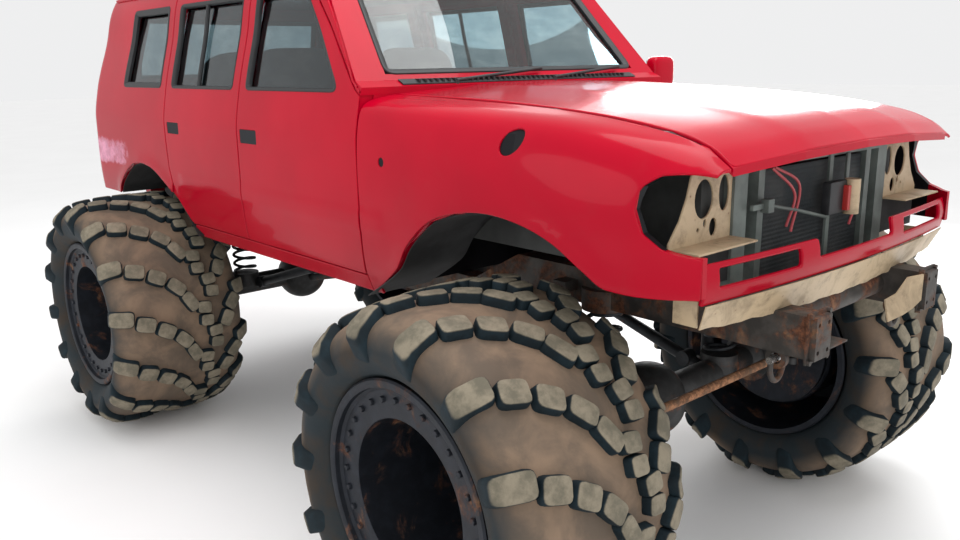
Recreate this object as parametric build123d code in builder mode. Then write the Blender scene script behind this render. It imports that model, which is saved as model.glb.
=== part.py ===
from build123d import *
import os
from math import cos, pi, sin

# Lifted sport utility vehicle. Millimetres, +Z up, the vehicle faces -Y, +X is its left side.

# Chassis and wheels
wheelbase = 2850
front_overhang = 825
rear_overhang = 825
half_track = 1022
tyre_radius = 630
tyre_width = 680
tyre_shoulder_drop = 62
sidewall_bulge_radius = 500
rim_radius = 380
rim_wall = 14
rim_flange_height = 10
rim_ring_wall = 12
rim_face_inset = 46
rim_bore_radius = 262
rim_disc_thickness = 22
rim_hub_radius = 95
rim_hub_length = 110
spindle_radius = 45
running_gap = 0.3

# Axles, steering and suspension
kingpin_half_track = 640
axle_tube_radius = 58
axle_ball_radius = 92
knuckle_wall = 22
differential_radius = 150
steering_arm_length = 200
tie_rod_rise = 70
tie_rod_radius = 17
tie_rod_pin_radius = 11
spring_coil_radius = 62
spring_wire_radius = 9
damper_radius = 28
damper_rod_radius = 12
damper_half_track = 472
link_half_track = 335
link_radius = 26

# Ladder frame
rail_half_track = 385
rail_width = 90
rail_depth = 130
rail_end_height = 1140
rail_mid_height = 1000
cross_radius = 45

# Cabin heights
sill_height = 1076
door_foot_height = 1150
floor_height = 1140
crease_height = 1640
belt_height = 1812
window_foot_height = 1832
window_head_height = 2240
gutter_height = 2312
roof_height = 2388
cabin_half_width = 930

# Walls and gaps
door_wall = 60
body_wall = 80
skin = 20
roof_wall = 30
shut_gap = 5
seal_gap = 0.3
seal_lip = 18
glass_wall = 6
glass_depth = 22
lamp_proud = 6

# Places along the vehicle
origin_shift = (front_overhang - rear_overhang) / 2
front_axle_y = origin_shift - wheelbase / 2
rear_axle_y = origin_shift + wheelbase / 2
front_end_y = front_axle_y - front_overhang
rear_end_y = rear_axle_y + rear_overhang
firewall_y = front_axle_y + 735
screen_foot_y = front_axle_y + 779
screen_foot_height = 1872
screen_head_y = front_axle_y + 1135
screen_head_height = 2292
door_split_y = front_axle_y + 1695
rear_door_end_y = front_axle_y + 2512
nose_y = front_axle_y - 695

# Cabin outline: height, half width, distance of the rear face from the rear end, corner radius
cabin_levels = [
    (sill_height, cabin_half_width - 58, 20, 90),
    (sill_height + 104, cabin_half_width - 15, 8, 110),
    (crease_height - 240, cabin_half_width, 0, 120),
    (crease_height, cabin_half_width, 8, 120),
    (belt_height, cabin_half_width - 25, 25, 115),
    (gutter_height, cabin_half_width - 155, 150, 95),
    (gutter_height + 42, cabin_half_width - 215, 200, 80),
    (roof_height, cabin_half_width - 480, 480, 60),
]

# Wing and hood sections: distance ahead of the firewall, then half width and height of six corners
wing_sections = [
    (0, (745, 1822), (868, 1800), (908, 1764), (930, 1640), (930, 1400), (915, 1180), (872, 1076)),
    (810, (738, 1790), (850, 1766), (897, 1722), (926, 1615), (930, 1400), (915, 1180), (872, 1076)),
    (1240, (730, 1738), (818, 1714), (862, 1674), (893, 1590), (898, 1400), (890, 1250), (860, 1076)),
    (1360, (720, 1700), (790, 1680), (830, 1645), (858, 1580), (862, 1400), (856, 1260), (840, 1076)),
    (1430, (708, 1648), (752, 1640), (790, 1615), (815, 1560), (820, 1400), (815, 1270), (800, 1076)),
]

# Hood profiles across the vehicle: share of the half width, then the rise and the bow at the front
hood_profiles = [(-1, 0, 0), (-0.5, 22, 28), (0, 30, 38), (0.5, 22, 28), (1, 0, 0)]
hood_wall = 22
hood_foot = [(0, 1822), (810, 1790), (1240, 1738), (1360, 1700), (1430, 1648)]
hood_half_width_rear = 742
hood_half_width_front = 704

# Wheel arch outlines: distance behind and height above the axle centre
front_arch = [(735, 440), (522, 576), (442, 678), (317, 777), (186, 822), (30, 842), (-125, 828),
              (-251, 789), (-359, 725), (-445, 680), (-760, 684)]
rear_arch = [(-660, 440), (-617, 463), (-426, 617), (-287, 701), (-120, 770), (40, 790), (171, 773),
             (290, 715), (398, 638), (430, 590), (900, 590)]

# Interior
seat_half_track = 370
seat_width = 500
wheelhouse_inner = 640
wheelhouse_height = 1460

os.makedirs("parts", exist_ok=True)


made = {}


def finish(piece, label):
    made[label] = piece
    piece.label = label
    export_step(piece, f"parts/{label}.step")
    print(label, len(piece.solids()), round(piece.volume / 1e6, 1))


def side_prism(points, x_from, x_to):
    """A side-view outline of (y, z) points, extruded across the vehicle."""
    with BuildPart() as prism:
        with BuildSketch(Plane.YZ.offset(x_from)):
            with BuildLine():
                Polyline(points, close=True)
            make_face()
        extrude(amount=x_to - x_from)
    return prism.part


def block(x_from, x_to, y_from, y_to, z_from, z_to):
    """A box between two corners."""
    with BuildPart() as box:
        with BuildSketch(Plane.XY.offset(z_from)):
            with Locations(((x_from + x_to) / 2, (y_from + y_to) / 2)):
                Rectangle(x_to - x_from, y_to - y_from)
        extrude(amount=z_to - z_from)
    return box.part


def rod(start, end, radius):
    """A round bar between two points."""
    start, end = Vector(*start), Vector(*end)
    with BuildPart() as bar:
        with BuildSketch(Plane(origin=start, z_dir=end - start)):
            Circle(radius)
        extrude(amount=(end - start).length)
    return bar.part


def tube(start, end, radius, bore):
    return rod(start, end, radius) - rod(start, end, bore)


def ball(centre, radius):
    """A full ball, turned about the X axis."""
    with BuildPart() as turned:
        with BuildSketch(Plane.XZ):
            with BuildLine():
                ThreePointArc((-radius, 0), (0, radius), (radius, 0))
                Line((radius, 0), (-radius, 0))
            make_face()
        revolve(axis=Axis.X, revolution_arc=360)
    return Pos(*centre) * turned.part


def mirrored(piece):
    return mirror(piece, about=Plane.YZ)


def cabin_solid(inset, screen_inset):
    """The cabin's outline, drawn in by the inset, with its windscreen slope."""
    with BuildPart() as solid:
        for height, half_width, setback, corner in cabin_levels:
            half = half_width - inset
            rear = rear_end_y - lamp_proud - setback - inset
            front = firewall_y - 60 + inset
            radius = corner - inset * 0.6
            diagonal = radius * (1 - cos(pi / 4))
            with BuildSketch(Plane.XY.offset(height)):
                with BuildLine():
                    Line((-half, front), (-half, rear - radius))
                    ThreePointArc(
                        (-half, rear - radius),
                        (-half + diagonal, rear - diagonal),
                        (-half + radius, rear),
                    )
                    Line((-half + radius, rear), (half - radius, rear))
                    ThreePointArc(
                        (half - radius, rear),
                        (half - diagonal, rear - diagonal),
                        (half, rear - radius),
                    )
                    Line((half, rear - radius), (half, front))
                    Line((half, front), (-half, front))
                make_face()
        loft(ruled=True)
    slope = (screen_head_y - screen_foot_y) / (screen_head_height - screen_foot_height)
    top = roof_height + 50
    side = side_prism(
        [
            (firewall_y + screen_inset, sill_height - 10),
            (firewall_y + screen_inset, screen_foot_height - 22),
            (screen_foot_y + screen_inset, screen_foot_height),
            (screen_foot_y + screen_inset + slope * (top - screen_foot_height), top),
            (rear_end_y + 10, top),
            (rear_end_y + 10, sill_height - 10),
        ],
        -cabin_half_width - 10,
        cabin_half_width + 10,
    )
    return solid.part & side


def wing_solid(inset):
    """The front clip from the firewall to the nose, drawn in by the inset."""
    with BuildPart() as solid:
        for ahead, *corners in wing_sections:
            y = firewall_y - ahead
            half = [(x - inset, z - inset) for x, z in corners[:4]]
            half += [(x - inset, z) for x, z in corners[4:]]
            top = [(0, corners[0][1] + 20 - inset)]
            other = [(-x, z) for x, z in reversed(half)]
            with BuildSketch(Plane.XZ.offset(-y)):
                with BuildLine():
                    Polyline(top + half + other, close=True)
                make_face()
        loft(ruled=True)
    return solid.part


def arch_prism(points, axle_y):
    """The space of a wheel arch on the left side, out from the wheel house."""
    outline = [(axle_y + behind, tyre_radius + above) for behind, above in points]
    outline = outline + [(outline[-1][0], 900), (outline[0][0], 900)]
    return side_prism(outline, wheelhouse_inner, 1000)


# Side-view outlines of the doors and windows, as (y, z) points
screen_slope = (screen_head_y - screen_foot_y) / (screen_head_height - screen_foot_height)
pillar_width = 92


def pillar_y(height):
    """The front edge of the door frame behind the windscreen pillar."""
    return screen_foot_y + pillar_width + screen_slope * (height - screen_foot_height)


def front_door_outline(grow):
    front = firewall_y + shut_gap
    rear = door_split_y - shut_gap / 2
    head = gutter_height - 22
    return [
        (front - grow, door_foot_height - grow),
        (front - grow, belt_height + 10),
        (pillar_y(belt_height + 10) - grow - 55, belt_height + 28),
        (pillar_y(head) - grow, head + grow),
        (rear + grow, head + grow),
        (rear + grow, door_foot_height - grow),
    ]


def rear_door_outline(grow):
    front = door_split_y + shut_gap / 2
    head = gutter_height - 22
    lip = [(rear_axle_y + behind, tyre_radius + above) for behind, above in rear_arch[1:4]]
    foot_share = (door_foot_height - lip[0][1]) / (lip[1][1] - lip[0][1])
    foot_y = lip[0][0] + foot_share * (lip[1][0] - lip[0][0])
    trim = 16
    return [
        (front - grow, door_foot_height - grow),
        (front - grow, head + grow),
        (rear_door_end_y + grow, head + grow),
        (rear_door_end_y + grow, belt_height - 260),
        (lip[2][0] - 60 + grow, lip[2][1] + 95),
        (lip[2][0] - 90 + grow, lip[2][1] + trim),
        (lip[1][0] - trim + grow, lip[1][1] + trim * 0.4),
        (foot_y - trim + grow, door_foot_height - grow),
    ]


def front_window_outline(grow):
    foot = window_foot_height - grow
    head = window_head_height + grow
    return [
        (pillar_y(foot) + 42 - grow, foot),
        (pillar_y(head) + 42 - grow, head),
        (door_split_y - 62 + grow, head),
        (door_split_y - 62 + grow, foot),
    ]


def rear_window_outline(grow):
    foot = window_foot_height - grow
    head = window_head_height + grow
    return [
        (door_split_y + 66 - grow, foot),
        (door_split_y + 66 - grow, head),
        (rear_door_end_y - 66 + grow, head),
        (rear_door_end_y - 66 + grow, foot),
    ]


def quarter_window_outline(grow):
    foot = window_foot_height - grow
    head = window_head_height + grow
    return [
        (rear_door_end_y + 70 - grow, foot),
        (rear_door_end_y + 70 - grow, head),
        (rear_axle_y + 215 + grow, head),
        (rear_axle_y + 262 + grow, foot),
    ]


outer = cabin_solid(0, 0)
door_face = cabin_solid(door_wall, -20)
seal_face = cabin_solid(door_wall + seal_gap, -20)
inner = cabin_solid(body_wall, body_wall)
glass_outer = cabin_solid(glass_depth, body_wall)
glass_inner = cabin_solid(glass_depth + glass_wall, body_wall)
far = cabin_half_width + 60


def cabin_cavity():
    """The hollow of the cabin, above the floor and below the roof lining."""
    return inner & block(-far, far, -4000, 4000, floor_height, roof_height - roof_wall)


# Tailgate outlines in the rear face: half width and heights
tailgate_half_width = 700
tailgate_foot_height = 1330
tailgate_split_height = 1788
tailgate_head_height = 2296
rear_wall_reach = 330


def tailgate_region(foot, head, grow):
    return block(
        -tailgate_half_width - grow,
        tailgate_half_width + grow,
        rear_end_y - rear_wall_reach,
        rear_end_y + 50,
        foot - grow,
        head + grow,
    )


def make_floor():
    """The floor pan between the sills, and the housings over the rear tyres that stand on it."""
    slab = block(-far, far, -4000, rear_end_y - 90, sill_height, floor_height)
    floor = cabin_solid(body_wall, body_wall) & slab
    houses = wheelhouses()
    for outline in (front_door_outline, rear_door_outline):
        pocket = side_prism(outline(shut_gap), wheelhouse_inner, far) - seal_face
        houses = houses - pocket - mirrored(pocket)
    arch = arch_prism(rear_arch, rear_axle_y)
    arches = arch + mirrored(arch)
    finish(floor - arches, "floor_pan")
    houses = houses - block(-far, far, -4000, 4000, sill_height - 10, floor_height) - arches
    finish(houses - made["body_shell"], "wheelhouses")


def make_body_shell():
    body = outer - cabin_solid(body_wall, body_wall)
    rear_wall = block(-far, far, rear_end_y - 90, rear_end_y, sill_height, floor_height)
    body = body + (rear_wall & cabin_solid(body_wall - 1, body_wall))
    body = body - block(-far, far, -4000, 4000, gutter_height, roof_height + 100)
    for outline in (front_door_outline, rear_door_outline):
        pocket = side_prism(outline(shut_gap), wheelhouse_inner, far) - seal_face
        opening = side_prism(outline(-seal_lip), wheelhouse_inner, far)
        body = body - pocket - mirrored(pocket) - opening - mirrored(opening)
    arch = arch_prism(rear_arch, rear_axle_y)
    body = body - arch - mirrored(arch)
    quarter = side_prism(quarter_window_outline(0), 600, far)
    body = body - quarter - mirrored(quarter)
    gate_pocket = tailgate_region(tailgate_foot_height, tailgate_head_height, shut_gap) - seal_face
    gate_opening = tailgate_region(tailgate_foot_height, tailgate_head_height, -seal_lip)
    body = body - gate_pocket - gate_opening
    body = body - screen_opening(0)
    finish(body, "body_shell")


def wheelhouses():
    """The boxed housings over the rear tyres, closed towards the cabin."""
    y_from = rear_axle_y - 560
    y_to = rear_axle_y + 470
    wall = wheelhouse_inner - skin
    low = floor_height - 10
    inward = block(wall, wheelhouse_inner, y_from - skin, y_to + skin, low, wheelhouse_height)
    top = block(wall, 900, y_from - skin, y_to + skin, wheelhouse_height - skin, wheelhouse_height)
    ahead = block(wall, 900, y_from - skin, y_from, low, wheelhouse_height)
    behind = block(wall, 900, y_to, y_to + skin, low, wheelhouse_height)
    box = (inward + top + ahead + behind) & cabin_solid(door_wall / 2, 0)
    return box + mirrored(box)


def screen_opening(grow):
    """The windscreen's opening, square to its sloping plane."""
    rise = screen_head_height - screen_foot_height
    reach = screen_head_y - screen_foot_y
    length = (rise ** 2 + reach ** 2) ** 0.5
    foot = Plane(
        origin=(0, screen_foot_y, screen_foot_height),
        x_dir=(1, 0, 0),
        z_dir=(0, -rise / length, reach / length),
    )
    foot_half = 742
    head_half = 668
    edge = 30
    with BuildPart() as opening:
        with BuildSketch(foot.offset(-130)):
            with BuildLine():
                Polyline(
                    [
                        (-foot_half - grow, edge - grow),
                        (foot_half + grow, edge - grow),
                        (head_half + grow, length - edge + grow),
                        (-head_half - grow, length - edge + grow),
                    ],
                    close=True,
                )
            make_face()
        extrude(amount=200)
    return opening.part


def make_roof():
    lining = block(-far, far, -4000, 4000, gutter_height - 20, roof_height - roof_wall)
    roof = outer - (inner & lining)
    roof = roof & block(-far, far, -4000, 4000, gutter_height + seal_gap, roof_height + 10)
    finish(roof, "roof")


def door_shell(outline):
    return (outer - door_face) & side_prism(outline, wheelhouse_inner, far)


def make_doors():
    """Doors and their glass, left side first and mirrored to the right."""
    layer = glass_outer - glass_inner
    for name, door_outline, window_outline in (
        ("front", front_door_outline(0), front_window_outline),
        ("rear", rear_door_outline(0), rear_window_outline),
    ):
        opening = side_prism(window_outline(0), 600, far)
        door = door_shell(door_outline) - opening
        pane = layer & side_prism(window_outline(-seal_gap), 600, far)
        finish(door, f"{name}_door_left")
        finish(mirrored(door), f"{name}_door_right")
        finish(pane, f"{name}_door_glass_left")
        finish(mirrored(pane), f"{name}_door_glass_right")


def make_fixed_glass():
    """The windscreen and the two quarter panes, all bonded to the body shell."""
    screen = (cabin_solid(0, 20) - cabin_solid(0, 28)) & screen_opening(-seal_gap)
    layer = glass_outer - glass_inner
    pane = layer & side_prism(quarter_window_outline(-seal_gap), 600, far)
    finish(screen + pane + mirrored(pane), "fixed_glass")


def make_tailgates():
    gate_skin = outer - door_face
    upper = gate_skin & tailgate_region(tailgate_split_height + shut_gap, tailgate_head_height, 0)
    lower = gate_skin & tailgate_region(tailgate_foot_height, tailgate_split_height, 0)
    window = block(
        -tailgate_half_width + 75,
        tailgate_half_width - 75,
        rear_end_y - rear_wall_reach,
        rear_end_y + 50,
        tailgate_split_height + 80,
        tailgate_head_height - 70,
    )
    pane_room = block(
        -tailgate_half_width + 75 + seal_gap,
        tailgate_half_width - 75 - seal_gap,
        rear_end_y - rear_wall_reach,
        rear_end_y + 50,
        tailgate_split_height + 80 + seal_gap,
        tailgate_head_height - 70 - seal_gap,
    )
    finish(upper - window, "tailgate_upper")
    finish((glass_outer - glass_inner) & pane_room, "tailgate_glass")
    finish(lower, "tailgate_lower")


def make_wings():
    shell = wing_solid(0) - wing_solid(skin)
    shell = shell - arch_prism(front_arch, front_axle_y)
    lamp = [
        (nose_y - 80, 1640),
        (nose_y + 110, 1640),
        (nose_y + 160, 1605),
        (nose_y + 172, 1545),
        (nose_y + 148, 1482),
        (nose_y + 92, 1440),
        (nose_y + 30, 1425),
        (nose_y - 80, 1420),
    ]
    shell = shell - side_prism(lamp, -1000, 1000)
    with BuildPart() as plan:
        with BuildSketch(Plane.XY.offset(1000)):
            with BuildLine():
                Polyline(
                    [
                        (hood_half_width_rear + shut_gap, firewall_y - shut_gap),
                        (hood_half_width_front + shut_gap, firewall_y - 1440),
                        (1000, firewall_y - 1440),
                        (1000, firewall_y - shut_gap),
                    ],
                    close=True,
                )
            make_face()
        extrude(amount=900)
    wing = shell & plan.part
    wing = max(wing.solids(), key=lambda solid: solid.volume)
    wing = Part() + wing
    finish(wing + mirrored(wing), "wings")


def hood_loft(drop, foot):
    """The hood's form across the vehicle, between its skin and a foot line below it."""
    with BuildPart() as hood:
        for share, rise, bow in hood_profiles:
            top = []
            last = len(hood_foot) - 1
            for index, (ahead, height) in enumerate(hood_foot):
                forward = bow * index / last
                top.append((firewall_y - ahead - forward, height + rise - drop))
            if foot is None:
                low = [(y, z - hood_wall) for y, z in reversed(top)]
            else:
                low = [(top[-1][0], foot), (top[0][0], foot)]
            with BuildSketch(Plane.YZ.offset(share * hood_half_width_rear)):
                with BuildLine():
                    Polyline(top + low, close=True)
                make_face()
        loft(ruled=True)
    return hood.part


def make_hood():
    with BuildPart() as plan:
        with BuildSketch(Plane.XY.offset(1500)):
            with BuildLine():
                Polyline(
                    [
                        (-hood_half_width_rear, firewall_y - shut_gap),
                        (-hood_half_width_front, firewall_y - 1440),
                        (-hood_half_width_front, firewall_y - 1540),
                        (hood_half_width_front, firewall_y - 1540),
                        (hood_half_width_front, firewall_y - 1440),
                        (hood_half_width_rear, firewall_y - shut_gap),
                    ],
                    close=True,
                )
            make_face()
        extrude(amount=500)
    finish(hood_loft(0, None) & plan.part, "hood")


# Front end: lamp panels, radiator support, valance and lower panel
valance_wall = 24
valance_half_width = 797.2
valance_top = 1402
valance_notch_top = 1342
valance_foot = 1284
valance_notch_half = 250
slot_outer = 735
slot_inner = 352
slot_foot = 1330
slot_top = 1384
valance_bow = 45
valance_y = firewall_y - 1428


def bowed_strip(half_width, y, bow, wall, z_from, z_to):
    """An upright strip across the nose, bowed forward at its middle."""
    with BuildPart() as strip:
        with BuildSketch(Plane.XY.offset(z_from)):
            with BuildLine():
                ThreePointArc((-half_width, y), (0, y - bow), (half_width, y))
                Line((half_width, y), (half_width, y + wall))
                ThreePointArc((half_width, y + wall), (0, y - bow + wall), (-half_width, y + wall))
                Line((-half_width, y + wall), (-half_width, y))
            make_face()
        extrude(amount=z_to - z_from)
    return strip.part


def make_valance():
    y_from = valance_y - valance_bow - 20
    y_to = valance_y + 60
    strip = bowed_strip(
        valance_half_width, valance_y, valance_bow, valance_wall, valance_foot, valance_top
    )
    notch = block(
        -valance_notch_half, valance_notch_half, y_from, y_to, valance_notch_top, valance_top + 10
    )
    slot = block(slot_inner, slot_outer, y_from, y_to, slot_foot, slot_top)
    finish(strip - notch - slot - mirrored(slot), "valance")


lower_panel_top = valance_foot
lower_panel_foot = 1232


def lower_panel():
    """The pale sheet below the valance, leaning back towards its foot."""
    lean = 50
    wall = 10
    with BuildPart() as panel:
        for height, back in ((lower_panel_foot, lean), (lower_panel_top, 0)):
            with BuildSketch(Plane.XY.offset(height)):
                with BuildLine():
                    y = valance_y + back
                    bow = valance_bow
                    half = 770
                    ThreePointArc((-half, y), (0, y - bow), (half, y))
                    Line((half, y), (half, y + wall))
                    ThreePointArc((half, y + wall), (0, y - bow + wall), (-half, y + wall))
                    Line((-half, y + wall), (-half, y))
                make_face()
        loft(ruled=True)
    y_from = valance_y + lean - 8
    flange = block(-760, 760, y_from, valance_y + 104, lower_panel_foot - 8, lower_panel_foot + 6)
    return panel.part + flange


support_y = valance_y + 150
support_half_width = 500
lamp_panel_wall = 8
lamp_holes = [(0.64, 0.62, 52), (0.22, 0.66, 40), (0.4, 0.24, 20)]


def make_lamp_panels():
    """Pale plates behind the missing headlamps, with their lamp and wiring holes."""
    x_from = support_half_width + seal_gap
    x_to = 812
    z_from = 1418
    z_to = 1632
    y = support_y - 20
    with BuildPart() as panel:
        with BuildSketch(Plane.XZ.offset(-y)):
            with BuildLine():
                Polyline(
                    [
                        (x_from, z_from),
                        (x_to, z_from),
                        (x_to - 14, z_from + 50),
                        (x_to - 90, z_from + 110),
                        (x_to - 90, z_to - 30),
                        (x_to - 115, z_to),
                        (x_from, z_to),
                    ],
                    close=True,
                )
            make_face()
            for across, up, radius in lamp_holes:
                with Locations((x_from + across * 210, z_from + up * (z_to - z_from))):
                    Circle(radius, mode=Mode.SUBTRACT)
        extrude(amount=lamp_panel_wall)
    foot = block(x_from, x_to, valance_y + valance_wall + 4, y, z_from, z_from + 8)
    plate = panel.part + foot
    finish(plate + mirrored(plate) + lower_panel(), "front_panels")


radiator_half_width = 330
support_foot = rail_end_height + rail_depth / 2 + seal_gap
radiator_foot = support_foot + 26
radiator_top = 1600


def make_radiator_support():
    """The upright frame that carries the radiator and the latch brace."""
    y = support_y
    depth = 36
    top = block(-support_half_width, support_half_width, y - depth, y, 1612, 1650)
    foot = block(
        -support_half_width, support_half_width, y - depth, y, support_foot, support_foot + 26
    )
    frame = top + foot
    for x in (430, radiator_half_width + 6):
        upright = block(x, x + 34, y - depth, y, support_foot, 1640)
        frame = frame + upright + mirrored(upright)
    brace = block(60, 84, y - depth - 6, y - depth + 2, support_foot, 1640)
    foot_web = block(
        support_half_width - 40, support_half_width, y - depth, y, support_foot, 1620
    )
    frame = frame + brace + foot_web + mirrored(foot_web)
    finish(frame, "radiator_support")


def make_radiator():
    y = support_y
    core = block(
        -radiator_half_width, radiator_half_width, y - 20, y + 50, radiator_foot, radiator_top
    )
    finish(core, "radiator")


ledge_height = 1640


def make_inner_wings():
    """Upright panels beside the engine bay, with the ledges that carry the wings and the hood."""
    y_from = support_y + 10
    y_to = firewall_y - seal_gap
    upright = block(600, 614, y_from, y_to, 1290, ledge_height)
    ledge = block(600, 766, y_from, y_to, ledge_height, ledge_height + 12)
    cross = block(support_half_width - 6, 614, support_y + seal_gap, support_y + 16, 1290, ledge_height)
    wing_rail = block(752, 766, y_from, y_to, ledge_height, 1900) & wing_solid(skin + seal_gap)
    hood_rail = block(674, 688, y_from, y_to, ledge_height, 1900)
    hood_rail = hood_rail & hood_loft(hood_wall + seal_gap, ledge_height - 50)
    panel = upright + ledge + cross + wing_rail + hood_rail
    finish(panel + mirrored(panel), "inner_wings")


def rail_outline():
    low = rail_mid_height - rail_depth / 2
    high = rail_end_height - rail_depth / 2
    kick_from = front_axle_y + 400
    kick_to = kick_from + 260
    points = [(front_end_y, high), (kick_from, high), (kick_to, low), (rear_end_y - 70, low)]
    top = [(y, z + rail_depth) for y, z in reversed(points)]
    return points + top


bumper_bolt_radius = 7
bumper_spacing_across = 56
bumper_spacing_up = 84
cross_places = [
    (front_end_y + 190, rail_end_height),
    (front_axle_y - 430, rail_end_height),
    (origin_shift + 80, rail_mid_height + 15),
    (rear_axle_y - 420, rail_mid_height),
    (rear_axle_y + 330, rail_mid_height),
    (rear_end_y - 210, rail_mid_height),
]
rail_heights = ((front_axle_y, rail_end_height), (rear_axle_y, rail_mid_height))


def make_frame():
    """Two box rails, kicked up at the front, with round cross members and body mounts."""
    half = rail_width / 2
    rail = side_prism(rail_outline(), rail_half_track - half, rail_half_track + half)
    for axle_y, rail_z in rail_heights:
        perch = rod(
            (rail_half_track, axle_y, rail_z - rail_depth / 2 - 14),
            (rail_half_track, axle_y, rail_z),
            spring_coil_radius + 20,
        )
        mount = block(405, 495, axle_y + 90, axle_y + 150, rail_z - 20, rail_z + 20)
        rail = rail + perch + mount
    for y in (front_axle_y + 860, rear_axle_y - 860):
        rail = rail + block(
            link_half_track - 26,
            link_half_track + 26,
            y - 40,
            y + 40,
            rail_mid_height - rail_depth / 2 - 90,
            rail_mid_height - 20,
        )
    for y in (front_axle_y + 800, origin_shift + 100, rear_axle_y - 200, rear_end_y - 200):
        rail = rail + rod(
            (rail_half_track, y, rail_mid_height),
            (rail_half_track, y, sill_height - seal_gap),
            32,
        )
    hook_y = front_end_y + 130
    hook_z = rail_end_height - rail_depth / 2 - 24
    rail = rail + tube(
        (rail_half_track + 10, hook_y, hook_z), (rail_half_track + 30, hook_y, hook_z), 34, 18
    )
    for end_y, rail_z in ((front_end_y, rail_end_height), (rear_end_y - 70, rail_mid_height)):
        for across in (-1, 1):
            for up in (-1, 1):
                x = rail_half_track + across * bumper_spacing_across / 2
                z = rail_z + up * bumper_spacing_up / 2
                rail = rail - rod((x, end_y - 60, z), (x, end_y + 60, z), bumper_bolt_radius)
    finish(rail + mirrored(rail), "chassis_rails")
    members = Part()
    reach = rail_half_track - rail_width / 2
    for y, z in cross_places:
        members = members + rod((-reach, y, z), (reach, y, z), cross_radius)
    finish(members - made["chassis_rails"], "cross_members")


def make_engine():
    block_part = block(-190, 190, front_axle_y - 330, front_axle_y + 480, 1010, 1440)
    head = block(-120, 120, front_axle_y - 300, front_axle_y + 450, 1440, 1570)
    finish(block_part + head, "engine")


def gearbox():
    y = front_axle_y + 480.3
    case = rod((0, y, 1080 - 20), (0, y + 220, 1080 - 20), 150) & block(-200, 200, y, y + 230, 800, 1070)
    box = rod((0, y + 220, 1000), (0, y + 760, 1000), 70)
    transfer = block(-150, 130, y + 600, y + 860, 880, 1065)
    return case + box + transfer


def make_gearbox_and_shafts():
    radius = 34
    y = front_axle_y + 480.3
    rear = rod((0, y + 850, 960), (0, rear_axle_y - differential_radius + 10, tyre_radius + 10), radius)
    front = rod((-110, y + 610, 940), (-110, front_axle_y + 140, tyre_radius + 30), radius)
    shafts = rear + front
    shafts = shafts - made["axles"]
    finish(shafts + gearbox(), "gearbox_and_shafts")


perch_height = 78


def axle_beam(half, offset):
    beam = rod((-half, 0, tyre_radius), (half, 0, tyre_radius), axle_tube_radius)
    beam = beam + ball((offset, 0, tyre_radius), differential_radius)
    for side in (-1, 1):
        x = side * rail_half_track
        perch = rod(
            (x, 0, tyre_radius), (x, 0, tyre_radius + perch_height), spring_coil_radius + 16
        )
        damper_eye = block(
            side * damper_half_track - 30,
            side * damper_half_track + 30,
            20,
            150,
            tyre_radius - 30,
            tyre_radius + 10,
        )
        beam = beam + perch + damper_eye
    return beam


def make_axles():
    front = axle_beam(kingpin_half_track, -110)
    for side in (-1, 1):
        front = front + ball((side * kingpin_half_track, 0, tyre_radius), axle_ball_radius)
    front = Pos(0, front_axle_y, 0) * front
    rear = axle_beam(disc_x - 24, 0)
    for side in (-1, 1):
        rear = rear + rod(
            (side * (disc_x - 40), 0, tyre_radius),
            (side * (disc_x + rim_hub_length), 0, tyre_radius),
            spindle_radius,
        )
    finish(front + Pos(0, rear_axle_y, 0) * rear, "axles")


disc_x = half_track - tyre_width / 2 + 130


def make_knuckles():
    """Cup over the axle ball, with the wheel spindle and the forward steering arm."""
    x = kingpin_half_track
    y = front_axle_y
    z = tyre_radius
    radius = axle_ball_radius + running_gap
    lip = -30
    shell = radius + knuckle_wall
    with BuildPart() as cup:
        with BuildSketch(Plane.XZ):
            with BuildLine():
                ThreePointArc(
                    (lip, (shell ** 2 - lip ** 2) ** 0.5),
                    (shell * cos(pi / 4), shell * sin(pi / 4)),
                    (shell, 0),
                )
                Line((shell, 0), (radius, 0))
                ThreePointArc(
                    (radius, 0),
                    (radius * cos(pi / 4), radius * sin(pi / 4)),
                    (lip, (radius ** 2 - lip ** 2) ** 0.5),
                )
                Line((lip, (radius ** 2 - lip ** 2) ** 0.5), (lip, (shell ** 2 - lip ** 2) ** 0.5))
            make_face()
        revolve(axis=Axis.X, revolution_arc=360)
    knuckle = Pos(x, y, z) * cup.part
    knuckle = knuckle + rod((x + radius + 8, y, z), (disc_x + rim_hub_length, y, z), spindle_radius)
    arm_z = z + tie_rod_rise
    arm = block(x - 24, x + 24, y - steering_arm_length, y - radius - 2, arm_z - 56, arm_z - 28)
    eye = rod(
        (x, y - steering_arm_length, arm_z - 56), (x, y - steering_arm_length, arm_z - 28), 24
    )
    pin = rod(
        (x, y - steering_arm_length, arm_z - 40),
        (x, y - steering_arm_length, arm_z + 26),
        tie_rod_pin_radius,
    )
    knuckle = knuckle + arm + eye + pin
    finish(knuckle, "knuckle_left")
    finish(mirrored(knuckle), "knuckle_right")


def make_tie_rod():
    x = kingpin_half_track
    y = front_axle_y - steering_arm_length
    z = tyre_radius + tie_rod_rise
    bar = rod((-x + 18, y, z), (x - 18, y, z), tie_rod_radius)
    for side in (-1, 1):
        bar = bar + rod((side * x, y, z - 20), (side * x, y, z + 20), 25)
    for side in (-1, 1):
        bar = bar - rod((side * x, y, z - 30), (side * x, y, z + 40), tie_rod_pin_radius + running_gap)
    finish(bar, "tie_rod")


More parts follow.
